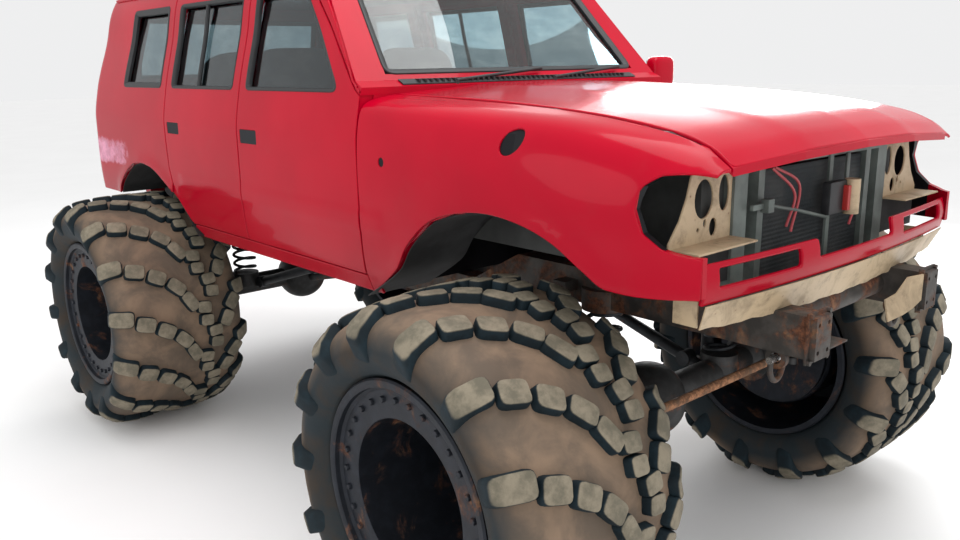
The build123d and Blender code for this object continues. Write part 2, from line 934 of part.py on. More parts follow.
def make_tyre_and_rim():
    """One tyre and rim about the X axis at the left front, copied to the other wheels."""
    half = tyre_width / 2
    shoulder = tyre_radius - tyre_shoulder_drop
    outer_face = half - rim_face_inset + 10
    inner_face = -outer_face
    disc_at = disc_x - half_track
    with BuildPart() as tyre:
        with BuildSketch(Plane.XZ):
            with BuildLine():
                Polyline(
                    [
                        (-half + 30, rim_radius + 24),
                        (-half, sidewall_bulge_radius - 40),
                        (-half, sidewall_bulge_radius + 20),
                        (-half + 46, shoulder + 20),
                        (-half + 130, tyre_radius),
                        (half - 130, tyre_radius),
                        (half - 46, shoulder + 20),
                        (half, sidewall_bulge_radius + 20),
                        (half, sidewall_bulge_radius - 40),
                        (half - 30, rim_radius + 24),
                        (half - 62, rim_radius + running_gap),
                        (-half + 62, rim_radius + running_gap),
                    ],
                    close=True,
                )
            make_face()
        revolve(axis=Axis.X, revolution_arc=360)
    with BuildPart() as rim:
        with BuildSketch(Plane.XZ):
            with BuildLine():
                Polyline(
                    [
                        (inner_face, rim_radius - rim_wall),
                        (outer_face - rim_ring_wall - 30, rim_radius - rim_wall),
                        (outer_face - rim_ring_wall - 30, rim_bore_radius + rim_wall),
                        (disc_at, rim_bore_radius + rim_wall),
                        (disc_at, rim_bore_radius),
                        (outer_face - 30, rim_bore_radius),
                        (outer_face - 30, rim_radius - rim_wall),
                        (outer_face, rim_radius - rim_wall),
                        (outer_face, rim_radius + rim_flange_height),
                        (outer_face - 10, rim_radius + rim_flange_height),
                        (outer_face - 10, rim_radius),
                        (inner_face + 10, rim_radius),
                        (inner_face + 10, rim_radius + rim_flange_height),
                        (inner_face, rim_radius + rim_flange_height),
                    ],
                    close=True,
                )
            make_face()
        revolve(axis=Axis.X, revolution_arc=360)
    disc = rod((disc_at, 0, 0), (disc_at + rim_disc_thickness, 0, 0), rim_bore_radius + 2)
    hub = rod((disc_at - 6, 0, 0), (disc_at + rim_hub_length, 0, 0), rim_hub_radius)
    bore = rod(
        (disc_at - 10, 0, 0), (disc_at + rim_hub_length + 10, 0, 0), spindle_radius + running_gap
    )
    rim_part = rim.part + disc + hub - bore
    for side, side_name in ((1, "left"), (-1, "right")):
        for axle_y, end_name in ((front_axle_y, "front"), (rear_axle_y, "rear")):
            for piece, label in ((tyre.part, "tyre"), (rim_part, "rim")):
                placed = Pos(half_track, axle_y, tyre_radius) * piece
                if side < 0:
                    placed = mirrored(placed)
                finish(placed, f"{label}_{end_name}_{side_name}")


def springs_and_dampers():
    """Coil springs between the axle perches and the frame, each with its damper behind."""
    suspension = Part()
    outer_wall = spring_coil_radius + spring_wire_radius
    bore = spring_coil_radius - spring_wire_radius
    for axle_y, rail_z in rail_heights:
        low = tyre_radius + perch_height + seal_gap
        high = rail_z - rail_depth / 2 - 14 - seal_gap
        x = rail_half_track
        suspension = suspension + tube((x, axle_y, low), (x, axle_y, high), outer_wall, bore)
        low = tyre_radius + 10 + seal_gap
        high = rail_z - 20 - seal_gap
        x = damper_half_track
        y = axle_y + 118
        body = rod((x, y, low), (x, y, low + 240), damper_radius)
        stem = rod((x, y, low + 240), (x, y, high), damper_rod_radius)
        suspension = suspension + body + stem
    return suspension + mirrored(suspension)


def make_suspension():
    """Springs and dampers, with the arms from the axles to the frame brackets."""
    links = Part()
    bracket_z = rail_mid_height - rail_depth / 2 - 60
    for side in (-1, 1):
        for axle_y, toward in ((front_axle_y, 1), (rear_axle_y, -1)):
            x = side * link_half_track
            start = (x, axle_y + toward * (axle_tube_radius - 20), tyre_radius)
            end = (x, axle_y + toward * (860 - 30), bracket_z)
            links = links + rod(start, end, link_radius)
    for carrier in ("axles", "chassis_rails", "cross_members"):
        links = links - made[carrier]
    finish(links + springs_and_dampers(), "suspension")


def make_seats():
    """The two front seats and the rear bench, each a cushion on its base with a leaning back."""
    foot = floor_height + 160
    seats = Part()
    for y, x, width in (
        (firewall_y + 700, -seat_half_track, seat_width),
        (firewall_y + 700, seat_half_track, seat_width),
        (door_split_y + 430, 0, 1200),
    ):
        cushion = block(
            x - width / 2, x + width / 2, y, y + 500, floor_height + seal_gap, foot + 150
        )
        with BuildPart() as back:
            with BuildSketch(Plane.YZ.offset(x - width / 2)):
                with BuildLine():
                    Polyline(
                        [
                            (y + 440, foot + 150),
                            (y + 560, foot + 150),
                            (y + 700, foot + 720),
                            (y + 590, foot + 720),
                        ],
                        close=True,
                    )
                make_face()
            extrude(amount=width)
        seats = seats + cushion + back.part
    finish(seats, "seats")


def make_dashboard():
    y = firewall_y + body_wall + 0.3
    dash = side_prism(
        [
            (y, 1500),
            (y + 260, 1500),
            (y + 330, 1640),
            (y + 300, 1760),
            (y + 60, 1800),
            (y, 1780),
        ],
        -790,
        790,
    )
    finish(dash, "dashboard")


def make_steering_wheel():
    x = seat_half_track
    y = firewall_y + body_wall + 470
    z = 1740
    with BuildPart() as wheel:
        with BuildSketch(Plane(origin=(x, y, z), x_dir=(0, 0.82, 0.57), z_dir=(1, 0, 0))):
            with Locations((0, 190)):
                Circle(14)
        revolve(axis=Axis((x, y, z), (0, 0.82, 0.57)), revolution_arc=360)
    hub = rod((x, y, z), (x, y - 0.82 * 30, z - 0.57 * 30), 45)
    column = rod((x, y, z), (x, y - 0.82 * 196, z - 0.57 * 196), 22)
    spokes = hub + column
    for angle in (0, 140, 220):
        reach = 182
        up = (-0.57 * cos(angle * pi / 180), 0.82 * cos(angle * pi / 180))
        end = (x + reach * sin(angle * pi / 180), y + reach * up[0], z + reach * up[1])
        spokes = spokes + rod((x, y, z), end, 10)
    finish(wheel.part + spokes - made["dashboard"], "steering_wheel")


def make_tail_lamps():
    """Tall lamps set into the rear corners beside the tailgate."""
    lamp = block(
        tailgate_half_width + 35,
        tailgate_half_width + 150,
        rear_end_y - 200,
        rear_end_y + 20,
        1440,
        1700,
    )
    lamp = lamp & (cabin_solid(-lamp_proud, 0) - outer)
    finish(lamp + mirrored(lamp), "tail_lamps")


def make_mirror():
    """The one door mirror left, on the far side, with its arm on the door."""
    y = firewall_y + 110
    arm = block(850, 960, y - 20, y + 20, 1780, 1806) - outer
    arm = max(arm.solids(), key=lambda solid: solid.center().X)
    shell = block(940, 1110, y - 45, y + 30, 1790, 1950)
    finish(Part() + shell + arm, "mirror_left")


wiper_places = [(-430, 520), (140, 480)]


def make_wipers():
    """Two wiper arms parked along the foot of the windscreen."""
    wipers = Part()
    proud = 26
    for x_pivot, reach in wiper_places:
        low = 1866
        high = 1905
        start = (x_pivot, screen_foot_y + screen_slope * (low - screen_foot_height) - proud, low)
        end = (x_pivot + reach, screen_foot_y + screen_slope * (high - screen_foot_height) - proud, high)
        arm = rod(start, end, 7) + rod((start[0], start[1], 1840), start, 11)
        wipers = wipers + arm
    finish(wipers - made["body_shell"], "wipers")


for step in (
    make_body_shell, make_floor, make_roof, make_doors, make_fixed_glass, make_tailgates, make_wings, make_hood,
    make_valance, make_lamp_panels, make_radiator_support, make_radiator,
    make_inner_wings, make_frame, make_engine, make_axles, make_gearbox_and_shafts, make_knuckles,
    make_tie_rod, make_tyre_and_rim, make_suspension, make_seats, make_dashboard,
    make_steering_wheel, make_tail_lamps, make_mirror, make_wipers,
):
    step()
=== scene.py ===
import math

import bmesh
import bpy
import numpy as np
from bpy.props import FloatProperty, FloatVectorProperty, IntProperty, PointerProperty
from mathutils import Matrix, Vector, geometry


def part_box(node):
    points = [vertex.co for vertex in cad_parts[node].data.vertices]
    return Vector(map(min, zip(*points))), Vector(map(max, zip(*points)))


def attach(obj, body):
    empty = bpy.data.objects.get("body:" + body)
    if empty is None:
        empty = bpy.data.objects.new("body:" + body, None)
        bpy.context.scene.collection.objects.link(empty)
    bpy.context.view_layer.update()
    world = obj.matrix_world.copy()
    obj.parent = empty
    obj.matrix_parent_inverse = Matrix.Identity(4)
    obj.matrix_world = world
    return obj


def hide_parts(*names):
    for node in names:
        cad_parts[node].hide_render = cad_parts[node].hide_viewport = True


bl_info = {
    "name": "Lifted Utility Vehicle",
    "version": (1, 0, 0),
    "blender": (4, 5, 0),
    "location": "View3D > Sidebar > Utility Vehicle",
    "description": "Finishes the body panels, wheels, cabin and chassis of a lifted utility vehicle",
    "category": "Object",
}

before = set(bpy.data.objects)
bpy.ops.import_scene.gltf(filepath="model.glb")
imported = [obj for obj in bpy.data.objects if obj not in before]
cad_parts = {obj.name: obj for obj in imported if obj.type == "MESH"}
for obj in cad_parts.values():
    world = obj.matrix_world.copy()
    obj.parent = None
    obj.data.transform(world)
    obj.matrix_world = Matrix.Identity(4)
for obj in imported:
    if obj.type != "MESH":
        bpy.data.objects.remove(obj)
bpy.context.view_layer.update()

# Places read from the frame, in metres. The vehicle faces -Y and +X is its left side.
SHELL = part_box("body_shell")
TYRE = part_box("tyre_front_right")
FRONT_AXLE = (TYRE[0][1] + TYRE[1][1]) / 2
REAR_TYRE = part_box("tyre_rear_right")
REAR_AXLE = (REAR_TYRE[0][1] + REAR_TYRE[1][1]) / 2
AXLE_HEIGHT = (TYRE[0][2] + TYRE[1][2]) / 2
HALF_TRACK = abs(TYRE[0][0] + TYRE[1][0]) / 2
TYRE_WIDTH = TYRE[1][0] - TYRE[0][0]
SILL = SHELL[0][2]
REAR_END = REAR_AXLE + 0.825
FIREWALL = FRONT_AXLE + 0.735
NOSE = FRONT_AXLE - 0.695
DOOR_SPLIT = FRONT_AXLE + 1.695
REAR_DOOR_END = FRONT_AXLE + 2.512
SCREEN_FOOT = (FRONT_AXLE + 0.779, 1.872)
SCREEN_HEAD = (FRONT_AXLE + 1.135, 2.292)
SCREEN_SLOPE = (SCREEN_HEAD[0] - SCREEN_FOOT[0]) / (SCREEN_HEAD[1] - SCREEN_FOOT[1])
DOOR_FOOT = 1.150
BELT = 1.812
WINDOW_FOOT = 1.832
WINDOW_HEAD = 2.240
GUTTER = 2.312
DOOR_HEAD = GUTTER - 0.022
ROOF = 2.388
HALF_WIDTH = 0.930
LAMP_PROUD = 0.006
SHUT = 0.005
PROUD = 0.002
SMOOTH_ANGLE = 38
WING_LENGTH = 1.430
WING_TIP = FIREWALL - WING_LENGTH
SIDES = (("left", False), ("right", True))
WHEELS = (("front", "left", FRONT_AXLE, 1), ("front", "right", FRONT_AXLE, -1),
          ("rear", "left", REAR_AXLE, 1), ("rear", "right", REAR_AXLE, -1))

# Cabin side: height, half width, setback of the rear face, corner radius
CABIN_LEVELS = (
    (SILL, 0.872, 0.020, 0.090),
    (SILL + 0.104, 0.915, 0.008, 0.110),
    (1.400, 0.930, 0.000, 0.120),
    (1.640, 0.930, 0.008, 0.120),
    (BELT, 0.905, 0.025, 0.115),
    (2.060, 0.8425, 0.086, 0.105),
    (GUTTER, 0.775, 0.150, 0.095),
    (GUTTER + 0.042, 0.715, 0.200, 0.080),
)

# Wing: distance ahead of the firewall, then half width and height of seven corners
WING_SECTIONS = (
    (0.000, (0.745, 1.822), (0.868, 1.800), (0.908, 1.764), (0.930, 1.640),
     (0.930, 1.400), (0.915, 1.180), (0.872, 1.076)),
    (0.810, (0.738, 1.790), (0.850, 1.766), (0.897, 1.722), (0.926, 1.615),
     (0.930, 1.400), (0.915, 1.180), (0.872, 1.076)),
    (1.240, (0.730, 1.738), (0.818, 1.714), (0.862, 1.674), (0.893, 1.590),
     (0.898, 1.400), (0.890, 1.250), (0.860, 1.076)),
    (1.360, (0.720, 1.700), (0.790, 1.680), (0.830, 1.645), (0.858, 1.580),
     (0.862, 1.400), (0.856, 1.260), (0.840, 1.076)),
    (1.430, (0.708, 1.648), (0.752, 1.640), (0.790, 1.615), (0.815, 1.560),
     (0.820, 1.400), (0.815, 1.270), (0.800, 1.076)),
)

# Hood: distance ahead of the firewall and height at the seam, then share of the width, rise and bow
HOOD_FOOT = ((0.000, 1.822), (0.405, 1.812), (0.810, 1.790), (1.240, 1.738), (1.360, 1.700), (1.430, 1.648))
HOOD_ACROSS = ((0.0, 0.030, 0.038), (0.42, 0.026, 0.031), (0.56, 0.019, 0.026), (0.80, 0.009, 0.014),
               (1.0, 0.0, 0.0))
HOOD_HALF_REAR = 0.742
HOOD_HALF_FRONT = 0.704

# Wheel arches: distance behind and height above the axle centre
FRONT_ARCH = ((0.735, 0.440), (0.522, 0.576), (0.442, 0.678), (0.317, 0.777), (0.186, 0.822), (0.030, 0.842),
              (-0.125, 0.828), (-0.251, 0.789), (-0.359, 0.725), (-0.445, 0.680), (-0.760, 0.684))
REAR_ARCH = ((-0.660, 0.440), (-0.617, 0.463), (-0.426, 0.617), (-0.287, 0.701), (-0.120, 0.770),
             (0.040, 0.790), (0.171, 0.773), (0.290, 0.715), (0.398, 0.638), (0.430, 0.590), (0.900, 0.590))

# Lugs of one pitch: outward place, degrees ahead, length, width and turn in degrees
TREAD_PITCHES = 14
TREAD_BLOCKS = (
    (0.300, 22.8, 0.100, 0.078, 8),
    (0.207, 18.7, 0.092, 0.074, 16),
    (0.112, 14.0, 0.092, 0.072, 28),
    (0.026, 8.0, 0.098, 0.066, 44),
    (-0.030, 0.0, 0.104, 0.062, 60),
    (-0.098, -4.0, 0.074, 0.060, 8),
    (-0.104, -10.4, 0.070, 0.058, 4),
    (-0.146, -16.4, 0.074, 0.058, -6),
    (-0.152, -22.4, 0.070, 0.058, 6),
    (-0.212, -11.5, 0.084, 0.064, -62),
    (-0.252, -3.6, 0.086, 0.066, -50),
    (-0.302, 3.6, 0.094, 0.074, -12),
)

COLOUR = {"subtype": "COLOR", "size": 3, "min": 0, "max": 1}


class VEHICLE_PG_body(bpy.types.PropertyGroup):
    """Sizes of the body panels"""
    cell: FloatProperty(name="Panel cell", default=0.026, unit="LENGTH",
                        description="Mesh size on the painted panels")
    fold: FloatProperty(name="Edge fold", default=0.004, unit="LENGTH",
                        description="Radius of the folded panel edges")
    wall: FloatProperty(name="Panel wall", default=0.007, unit="LENGTH",
                        description="Depth of the folded panel edges")
    gasket: FloatProperty(name="Window gasket", default=0.022, unit="LENGTH",
                          description="Width of the rubber round the windows")


class VEHICLE_PG_wheels(bpy.types.PropertyGroup):
    """Sizes of the tyres and rims"""
    lug_height: FloatProperty(name="Lug height", default=0.034, unit="LENGTH",
                              description="Height of the tread blocks over the carcass")
    pitches: IntProperty(name="Tread pitches", default=TREAD_PITCHES, min=3,
                         description="Repeats of the tread pattern around the tyre")
    bolts: IntProperty(name="Rim bolts", default=30, min=3, description="Bolts around each rim ring")


class VEHICLE_PG_colours(bpy.types.PropertyGroup):
    """Colours of the finishes"""
    paint: FloatVectorProperty(name="Paint", description="Body paint", **COLOUR,
                               default=(0.43, 0.0005, 0.016))
    primer: FloatVectorProperty(name="Primer", description="Stained primer on the rear quarter", **COLOUR,
                                default=(0.62, 0.30, 0.42))
    rust: FloatVectorProperty(name="Rust", description="Rust on the frame", **COLOUR,
                              default=(0.16, 0.055, 0.022))
    cream: FloatVectorProperty(name="Cream panel", description="Bare inner panels", **COLOUR,
                               default=(0.43, 0.325, 0.205))
    rubber: FloatVectorProperty(name="Tyre rubber", description="Rubber of the tyres", **COLOUR,
                                default=(0.009, 0.020, 0.027))
    dust: FloatVectorProperty(name="Dust", description="Dust on the tyres", **COLOUR,
                              default=(0.098, 0.074, 0.055))
    floor: FloatVectorProperty(name="Floor", description="Studio floor", **COLOUR,
                               default=(0.90, 0.90, 0.90))


# Numbers and curves

def hermite(t, first, first_slope, second, second_slope, span=1):
    """A cubic between two values with the slopes given at its ends."""
    return ((1 + 2 * t) * (1 - t) ** 2 * first + t * (1 - t) ** 2 * span * first_slope
            + t * t * (3 - 2 * t) * second + t * t * (t - 1) * span * second_slope)


def monotone(places, values):
    """A smooth curve through the values that never overshoots them."""
    xs = np.asarray(places, float)
    ys = np.asarray(values, float)
    step = np.diff(xs)
    slope = np.diff(ys) / step
    tangent = np.zeros_like(ys)
    for i in range(1, len(xs) - 1):
        if slope[i - 1] * slope[i] > 0:
            w1 = 2 * step[i] + step[i - 1]
            w2 = step[i] + 2 * step[i - 1]
            tangent[i] = (w1 + w2) / (w1 / slope[i - 1] + w2 / slope[i])
    tangent[0] = slope[0]
    tangent[-1] = slope[-1]

    def value(x):
        x = np.clip(x, xs[0], xs[-1])
        i = np.clip(np.searchsorted(xs, x) - 1, 0, len(xs) - 2)
        return hermite((x - xs[i]) / step[i], ys[i], tangent[i], ys[i + 1], tangent[i + 1], step[i])

    return value


def smooth_step(low, high, x):
    t = np.clip((x - low) / (high - low), 0, 1)
    return t * t * (3 - 2 * t)


def spread(points, gap, closed=True):
    """The polyline with points added so that none lie further apart than the gap."""
    result = []
    count = len(points) if closed else len(points) - 1
    for i in range(count):
        a = np.asarray(points[i], float)
        b = np.asarray(points[(i + 1) % len(points)], float)
        parts = max(1, int(math.ceil(np.linalg.norm(b - a) / gap)))
        result += [a + (b - a) * k / parts for k in range(parts)]
    if not closed:
        result.append(np.asarray(points[-1], float))
    return np.array(result)


def rounded(points, radius, steps=5):
    """A closed outline with its corners rounded; radius is one number or one for each corner."""
    pts = [np.asarray(p, float) for p in points]
    radii = [radius] * len(pts) if np.isscalar(radius) else list(radius)
    result = []
    for i, corner in enumerate(pts):
        before = pts[i - 1] - corner
        after = pts[(i + 1) % len(pts)] - corner
        reach_before = np.linalg.norm(before)
        reach_after = np.linalg.norm(after)
        before = before / reach_before
        after = after / reach_after
        bend = math.acos(float(np.clip(before @ after, -1, 1)))
        if radii[i] <= 0 or bend > math.pi - 0.02:
            result.append(corner)
            continue
        cut = min(radii[i] / math.tan(bend / 2), 0.48 * reach_before, 0.48 * reach_after)
        for k in range(steps + 1):
            t = k / steps
            result.append((1 - t) ** 2 * (corner + before * cut) + 2 * t * (1 - t) * corner
                          + t * t * (corner + after * cut))
    return np.array(result)


def curve_through(points, steps=8):
    """A smooth open line through the points."""
    pts = np.asarray(points, float)
    length = np.concatenate([[0], np.cumsum(np.linalg.norm(np.diff(pts, axis=0), axis=1))])
    result = []
    for i in range(len(pts) - 1):
        span = length[i + 1] - length[i]
        m = []
        for j in (i, i + 1):
            a, b = max(j - 1, 0), min(j + 1, len(pts) - 1)
            m.append((pts[b] - pts[a]) / (length[b] - length[a]) * span)
        result += [hermite(k / steps, pts[i], m[0], pts[i + 1], m[1]) for k in range(steps)]
    result.append(pts[-1])
    return [tuple(p) for p in result]


def turned_left(loop):
    """The signed area tells which way the loop turns."""
    x, y = loop[:, 0], loop[:, 1]
    return np.sum(x * np.roll(y, -1) - y * np.roll(x, -1)) > 0


def drawn_in(loop, amount):
    """The loop moved to its left by the amount."""
    ahead = np.roll(loop, -1, axis=0) - loop
    behind = loop - np.roll(loop, 1, axis=0)
    ahead /= np.linalg.norm(ahead, axis=1)[:, None] + 1e-12
    behind /= np.linalg.norm(behind, axis=1)[:, None] + 1e-12
    left = np.stack([-(ahead + behind)[:, 1], (ahead + behind)[:, 0]], axis=1)
    size = np.linalg.norm(left, axis=1)[:, None]
    left = left / np.maximum(size, 1e-9)
    along = np.stack([-ahead[:, 1], ahead[:, 0]], axis=1)
    share = np.clip(np.sum(left * along, axis=1), 0.5, 1)[:, None]
    return loop + left * amount / share


def inside(points, loops):
    """Which points lie inside the loops, by the even-odd rule."""
    result = np.zeros(len(points), bool)
    for loop in loops:
        x, y = points[:, 0][:, None], points[:, 1][:, None]
        x1, y1 = loop[:, 0][None], loop[:, 1][None]
        x2, y2 = np.roll(loop[:, 0], -1)[None], np.roll(loop[:, 1], -1)[None]
        rises = (y1 > y) != (y2 > y)
        with np.errstate(divide="ignore", invalid="ignore"):
            cross = x < (x2 - x1) * (y - y1) / (y2 - y1) + x1
        result ^= (np.sum(rises & cross, axis=1) % 2).astype(bool)
    return result


def distance_to(points, line):
    """Distance from each point to the nearest vertex of a line."""
    best = np.full(len(points), 1e9)
    for start in range(0, len(line), 64):
        part = line[start:start + 64]
        gap = points[:, None, :] - part[None]
        best = np.minimum(best, np.sqrt(np.min(np.sum(gap * gap, axis=2), axis=1)))
    return best


# Meshes

def new_piece(name, vertices, faces, material, normals=None):
    """A smooth-shaded piece, its normals given or taken from its angles."""
    mesh = bpy.data.meshes.new(name)
    mesh.from_pydata([tuple(map(float, v)) for v in vertices], [], [tuple(map(int, f)) for f in faces])
    mesh.validate()
    mesh.shade_smooth()
    if normals is None:
        mesh.set_sharp_from_angle(angle=math.radians(SMOOTH_ANGLE))
    else:
        mesh.normals_split_custom_set_from_vertices([tuple(map(float, n)) for n in normals])
    mesh.materials.append(material)
    piece = bpy.data.objects.new(name, mesh)
    bpy.context.scene.collection.objects.link(piece)
    return piece


def joined(parts):
    """One list of vertices and faces from several."""
    vertices, faces = [], []
    for part_vertices, part_faces in parts:
        offset = len(vertices)
        vertices += [tuple(v) for v in part_vertices]
        faces += [tuple(i + offset for i in face) for face in part_faces]
    return vertices, faces


def mirror_part(part):
    vertices, faces = part
    return [(-v[0], v[1], v[2]) for v in vertices], [tuple(reversed(f)) for f in faces]


def both_sides(part):
    return joined([part, mirror_part(part)])


def seat(piece, body):
    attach(piece, body)
    return piece


def part_of(mesh):
    """A working mesh's vertices and faces, and the mesh freed."""
    mesh.verts.index_update()
    part = [tuple(v.co) for v in mesh.verts], [tuple(v.index for v in f.verts) for f in mesh.faces]
    mesh.free()
    return part


def box_part(low, high, bevel=0.0):
    """A box between two corners, its edges eased by the bevel, as vertices and faces."""
    mesh = bmesh.new()
    bmesh.ops.create_cube(mesh, size=1)
    low, high = Vector(low), Vector(high)
    size = high - low
    for vertex in mesh.verts:
        vertex.co = Vector([low[i] + (vertex.co[i] + 0.5) * size[i] for i in range(3)])
    if bevel > 0:
        bmesh.ops.bevel(mesh, geom=mesh.edges[:], offset=min(bevel, min(size) * 0.45), segments=2,
                        affect="EDGES", profile=0.6)
    return part_of(mesh)


def across(direction):
    """Two unit vectors square to a direction."""
    direction = Vector(direction).normalized()
    side = direction.cross(Vector((0, 0, 1)))
    if side.length < 0.05:
        side = direction.cross(Vector((0, 1, 0)))
    side.normalize()
    return side, direction.cross(side).normalized()


def tube_part(points, radius, sides=12):
    """A tube along a line of points; radius is one number or one for each point."""
    pts = [Vector(p) for p in points]
    radii = [radius] * len(pts) if np.isscalar(radius) else list(radius)
    vertices, faces = [], []
    side, last = None, len(pts) - 1
    for i, point in enumerate(pts):
        ahead = (pts[min(i + 1, last)] - pts[max(i - 1, 0)]).normalized()
        if side is None:
            side, up = across(ahead)
        else:
            side = (side - ahead * side.dot(ahead)).normalized()
            up = ahead.cross(side).normalized()
        for k in range(sides):
            angle = 2 * math.pi * k / sides
            vertices.append(tuple(point + (side * math.cos(angle) + up * math.sin(angle)) * radii[i]))
    for i in range(last):
        for k in range(sides):
            here, after = i * sides + k, i * sides + (k + 1) % sides
            faces.append((here, after, after + sides, here + sides))
    faces += [tuple(reversed(range(sides))), tuple(range(last * sides, (last + 1) * sides))]
    return vertices, faces


def turned_part(profile, count):
    """A closed profile of (x, radius) points turned about the X axis."""
    vertices, faces = [], []
    size = len(profile)
    for i in range(count):
        angle = 2 * math.pi * i / count
        for x, radius in profile:
            vertices.append((x, -radius * math.cos(angle), radius * math.sin(angle)))
    for i in range(count):
        j = (i + 1) % count
        for k in range(size):
            m = (k + 1) % size
            faces.append((i * size + k, i * size + m, j * size + m, j * size + k))
    return outward((vertices, faces))


def outward(part):
    """The part with its faces turned to point outwards."""
    mesh = bmesh.new()
    vertices = [mesh.verts.new(v) for v in part[0]]
    for face in part[1]:
        try:
            mesh.faces.new([vertices[i] for i in face])
        except ValueError:
            continue
    bmesh.ops.recalc_face_normals(mesh, faces=mesh.faces[:])
    return part_of(mesh)


def unit(vectors):
    return vectors / (np.linalg.norm(vectors, axis=1)[:, None] + 1e-15)


def base_and_normal(surface, flat, small):
    """The places on a surface and its outward directions there, found with a small step."""
    u, v = flat[:, 0], flat[:, 1]
    along = surface(u + small, v) - surface(u - small, v)
    upward = surface(u, v + small) - surface(u, v - small)
    return surface(u, v), unit(np.cross(along, upward))


# Shares of a panel's cell: step along edges, and room kept from them by creases and by the grid
EDGE_GAP, CREASE_CLEAR, GRID_CLEAR = 0.7, 0.3, 0.5


def panel(surface, outline, holes=(), creases=(), cell=None, fold=None, wall=None, lift=PROUD):
    """A closed panel on a smooth surface, trimmed to its outline, with folded edges."""
    sizes = bpy.context.scene.vehicle_body
    cell = cell or sizes.cell
    fold = sizes.fold if fold is None else fold
    wall = wall or sizes.wall
    loops = []
    for k, line in enumerate([outline, *holes]):
        loop = spread(line, cell * EDGE_GAP)
        if turned_left(loop) != (k == 0):
            loop = loop[::-1]
        loops.append(drawn_in(loop, fold))
    edge_points = np.concatenate(loops)
    fixed = [edge_points]
    for crease in creases:
        line = spread(crease, cell * EDGE_GAP, closed=False)
        fixed.append(line[inside(line, loops) & (distance_to(line, edge_points) > cell * CREASE_CLEAR)])
    fixed = np.concatenate(fixed)
    low, high = edge_points.min(axis=0), edge_points.max(axis=0)
    us = np.arange(low[0] + cell / 2, high[0], cell)
    vs = np.arange(low[1] + cell / 2, high[1], cell)
    grid = np.stack(np.meshgrid(us, vs), axis=2).reshape(-1, 2)
    grid = grid[inside(grid, loops)]
    if len(grid):
        grid = grid[distance_to(grid, fixed) > cell * GRID_CLEAR]
    points = np.concatenate([fixed, grid])
    edges = []
    offset = 0
    for loop in loops:
        edges += [(offset + i, offset + (i + 1) % len(loop)) for i in range(len(loop))]
        offset += len(loop)
    found = geometry.delaunay_2d_cdt([Vector(p) for p in points], edges, [], 0, 1e-7)
    flat = np.array([tuple(v) for v in found[0]])
    origin = {}
    for index, sources in enumerate(found[3]):
        for source in sources:
            origin[source] = index
    triangles = np.array(found[2])
    middle = flat[triangles].mean(axis=1)
    triangles = triangles[inside(middle, loops)]
    corners = flat[triangles]
    area = ((corners[:, 1, 0] - corners[:, 0, 0]) * (corners[:, 2, 1] - corners[:, 0, 1])
            - (corners[:, 1, 1] - corners[:, 0, 1]) * (corners[:, 2, 0] - corners[:, 0, 0]))
    triangles[area < 0] = triangles[area < 0][:, ::-1]
    used = np.unique(triangles)
    place = {old: new for new, old in enumerate(used)}
    triangles = np.array([[place[i] for i in t] for t in triangles])
    flat = flat[used]
    base, normal = base_and_normal(surface, flat, 0.0015)
    top = base + normal * lift
    count = len(flat)
    vertices = [top, base - normal * wall]
    normals = [normal, -normal]
    faces = [tuple(t) for t in triangles]
    faces += [(t[2] + count, t[1] + count, t[0] + count) for t in triangles]
    total = 2 * count
    offset = 0
    for loop in loops:
        ring = [place.get(origin[offset + i]) for i in range(len(loop))]
        offset += len(loop)
        ring = np.array([r for i, r in enumerate(ring) if r is not None and r != ring[i - 1]])
        here = top[ring]
        tangent = unit(np.roll(here, -1, axis=0) - np.roll(here, 1, axis=0))
        out = unit(np.cross(tangent, normal[ring]))
        previous = ring
        for angle in (35, 65, 90):
            a = math.radians(angle)
            rise, reach = math.cos(a), math.sin(a)
            vertices.append(here + out * fold * reach - normal[ring] * fold * (1 - rise))
            normals.append(normal[ring] * rise + out * reach)
            current = np.arange(total, total + len(ring))
            total += len(ring)
            faces += quads_between(previous, current)
            previous = current
        vertices.append(base[ring] - normal[ring] * wall + out * fold)
        normals.append(out)
        current = np.arange(total, total + len(ring))
        total += len(ring)
        faces += quads_between(previous, current)
        faces += quads_between(current, ring + count)
    return np.concatenate(vertices), faces, np.concatenate(normals)


def quads_between(first, second):
    count = len(first)
    return [(first[i], second[i], second[(i + 1) % count], first[(i + 1) % count]) for i in range(count)]


def ring_faces(rings, size):
    """The faces between rings of that size that follow on each other."""
    faces = []
    for i in range(rings - 1):
        faces += quads_between(range(i * size, (i + 1) * size), range((i + 1) * size, (i + 2) * size))
    return faces


MIRROR = np.array([-1, 1, 1])


def panel_piece(name, part, body, mirror=False):
    """A painted panel on its body, or its mirror image."""
    vertices, faces, normals = part
    if mirror:
        vertices, normals, faces = vertices * MIRROR, normals * MIRROR, [tuple(reversed(f)) for f in faces]
    return seat(new_piece(name, vertices, faces, finishes["paint"], normals=normals), body)


def both_panels(name, part, finish="paint"):
    """A panel and its mirror image on the chassis, as one piece."""
    vertices, faces, normals = part
    count = len(vertices)
    faces = list(faces) + [tuple(i + count for i in reversed(f)) for f in faces]
    piece = new_piece(name, np.concatenate([vertices, vertices * MIRROR]), faces, finishes[finish],
                      normals=np.concatenate([normals, normals * MIRROR]))
    return seat(piece, "chassis")


# The body's surfaces

def column(table, k):
    """The smooth curve of a table's column over its first one."""
    return monotone([row[0] for row in table], [row[k] for row in table])


half_at, setback_at, corner_at = (column(CABIN_LEVELS, k) for k in (1, 2, 3))
BAND_LOW, BAND_HIGH, BAND_RISE, BAND_RAMP = 1.330, 1.400, 0.003, 0.010
BAND_FRONT, BAND_REAR, BAND_FADE = FRONT_AXLE + 0.56, REAR_AXLE - 0.52, 0.08
ARCH_SWELL, ARCH_SWELL_REACH = 0.007, 0.045


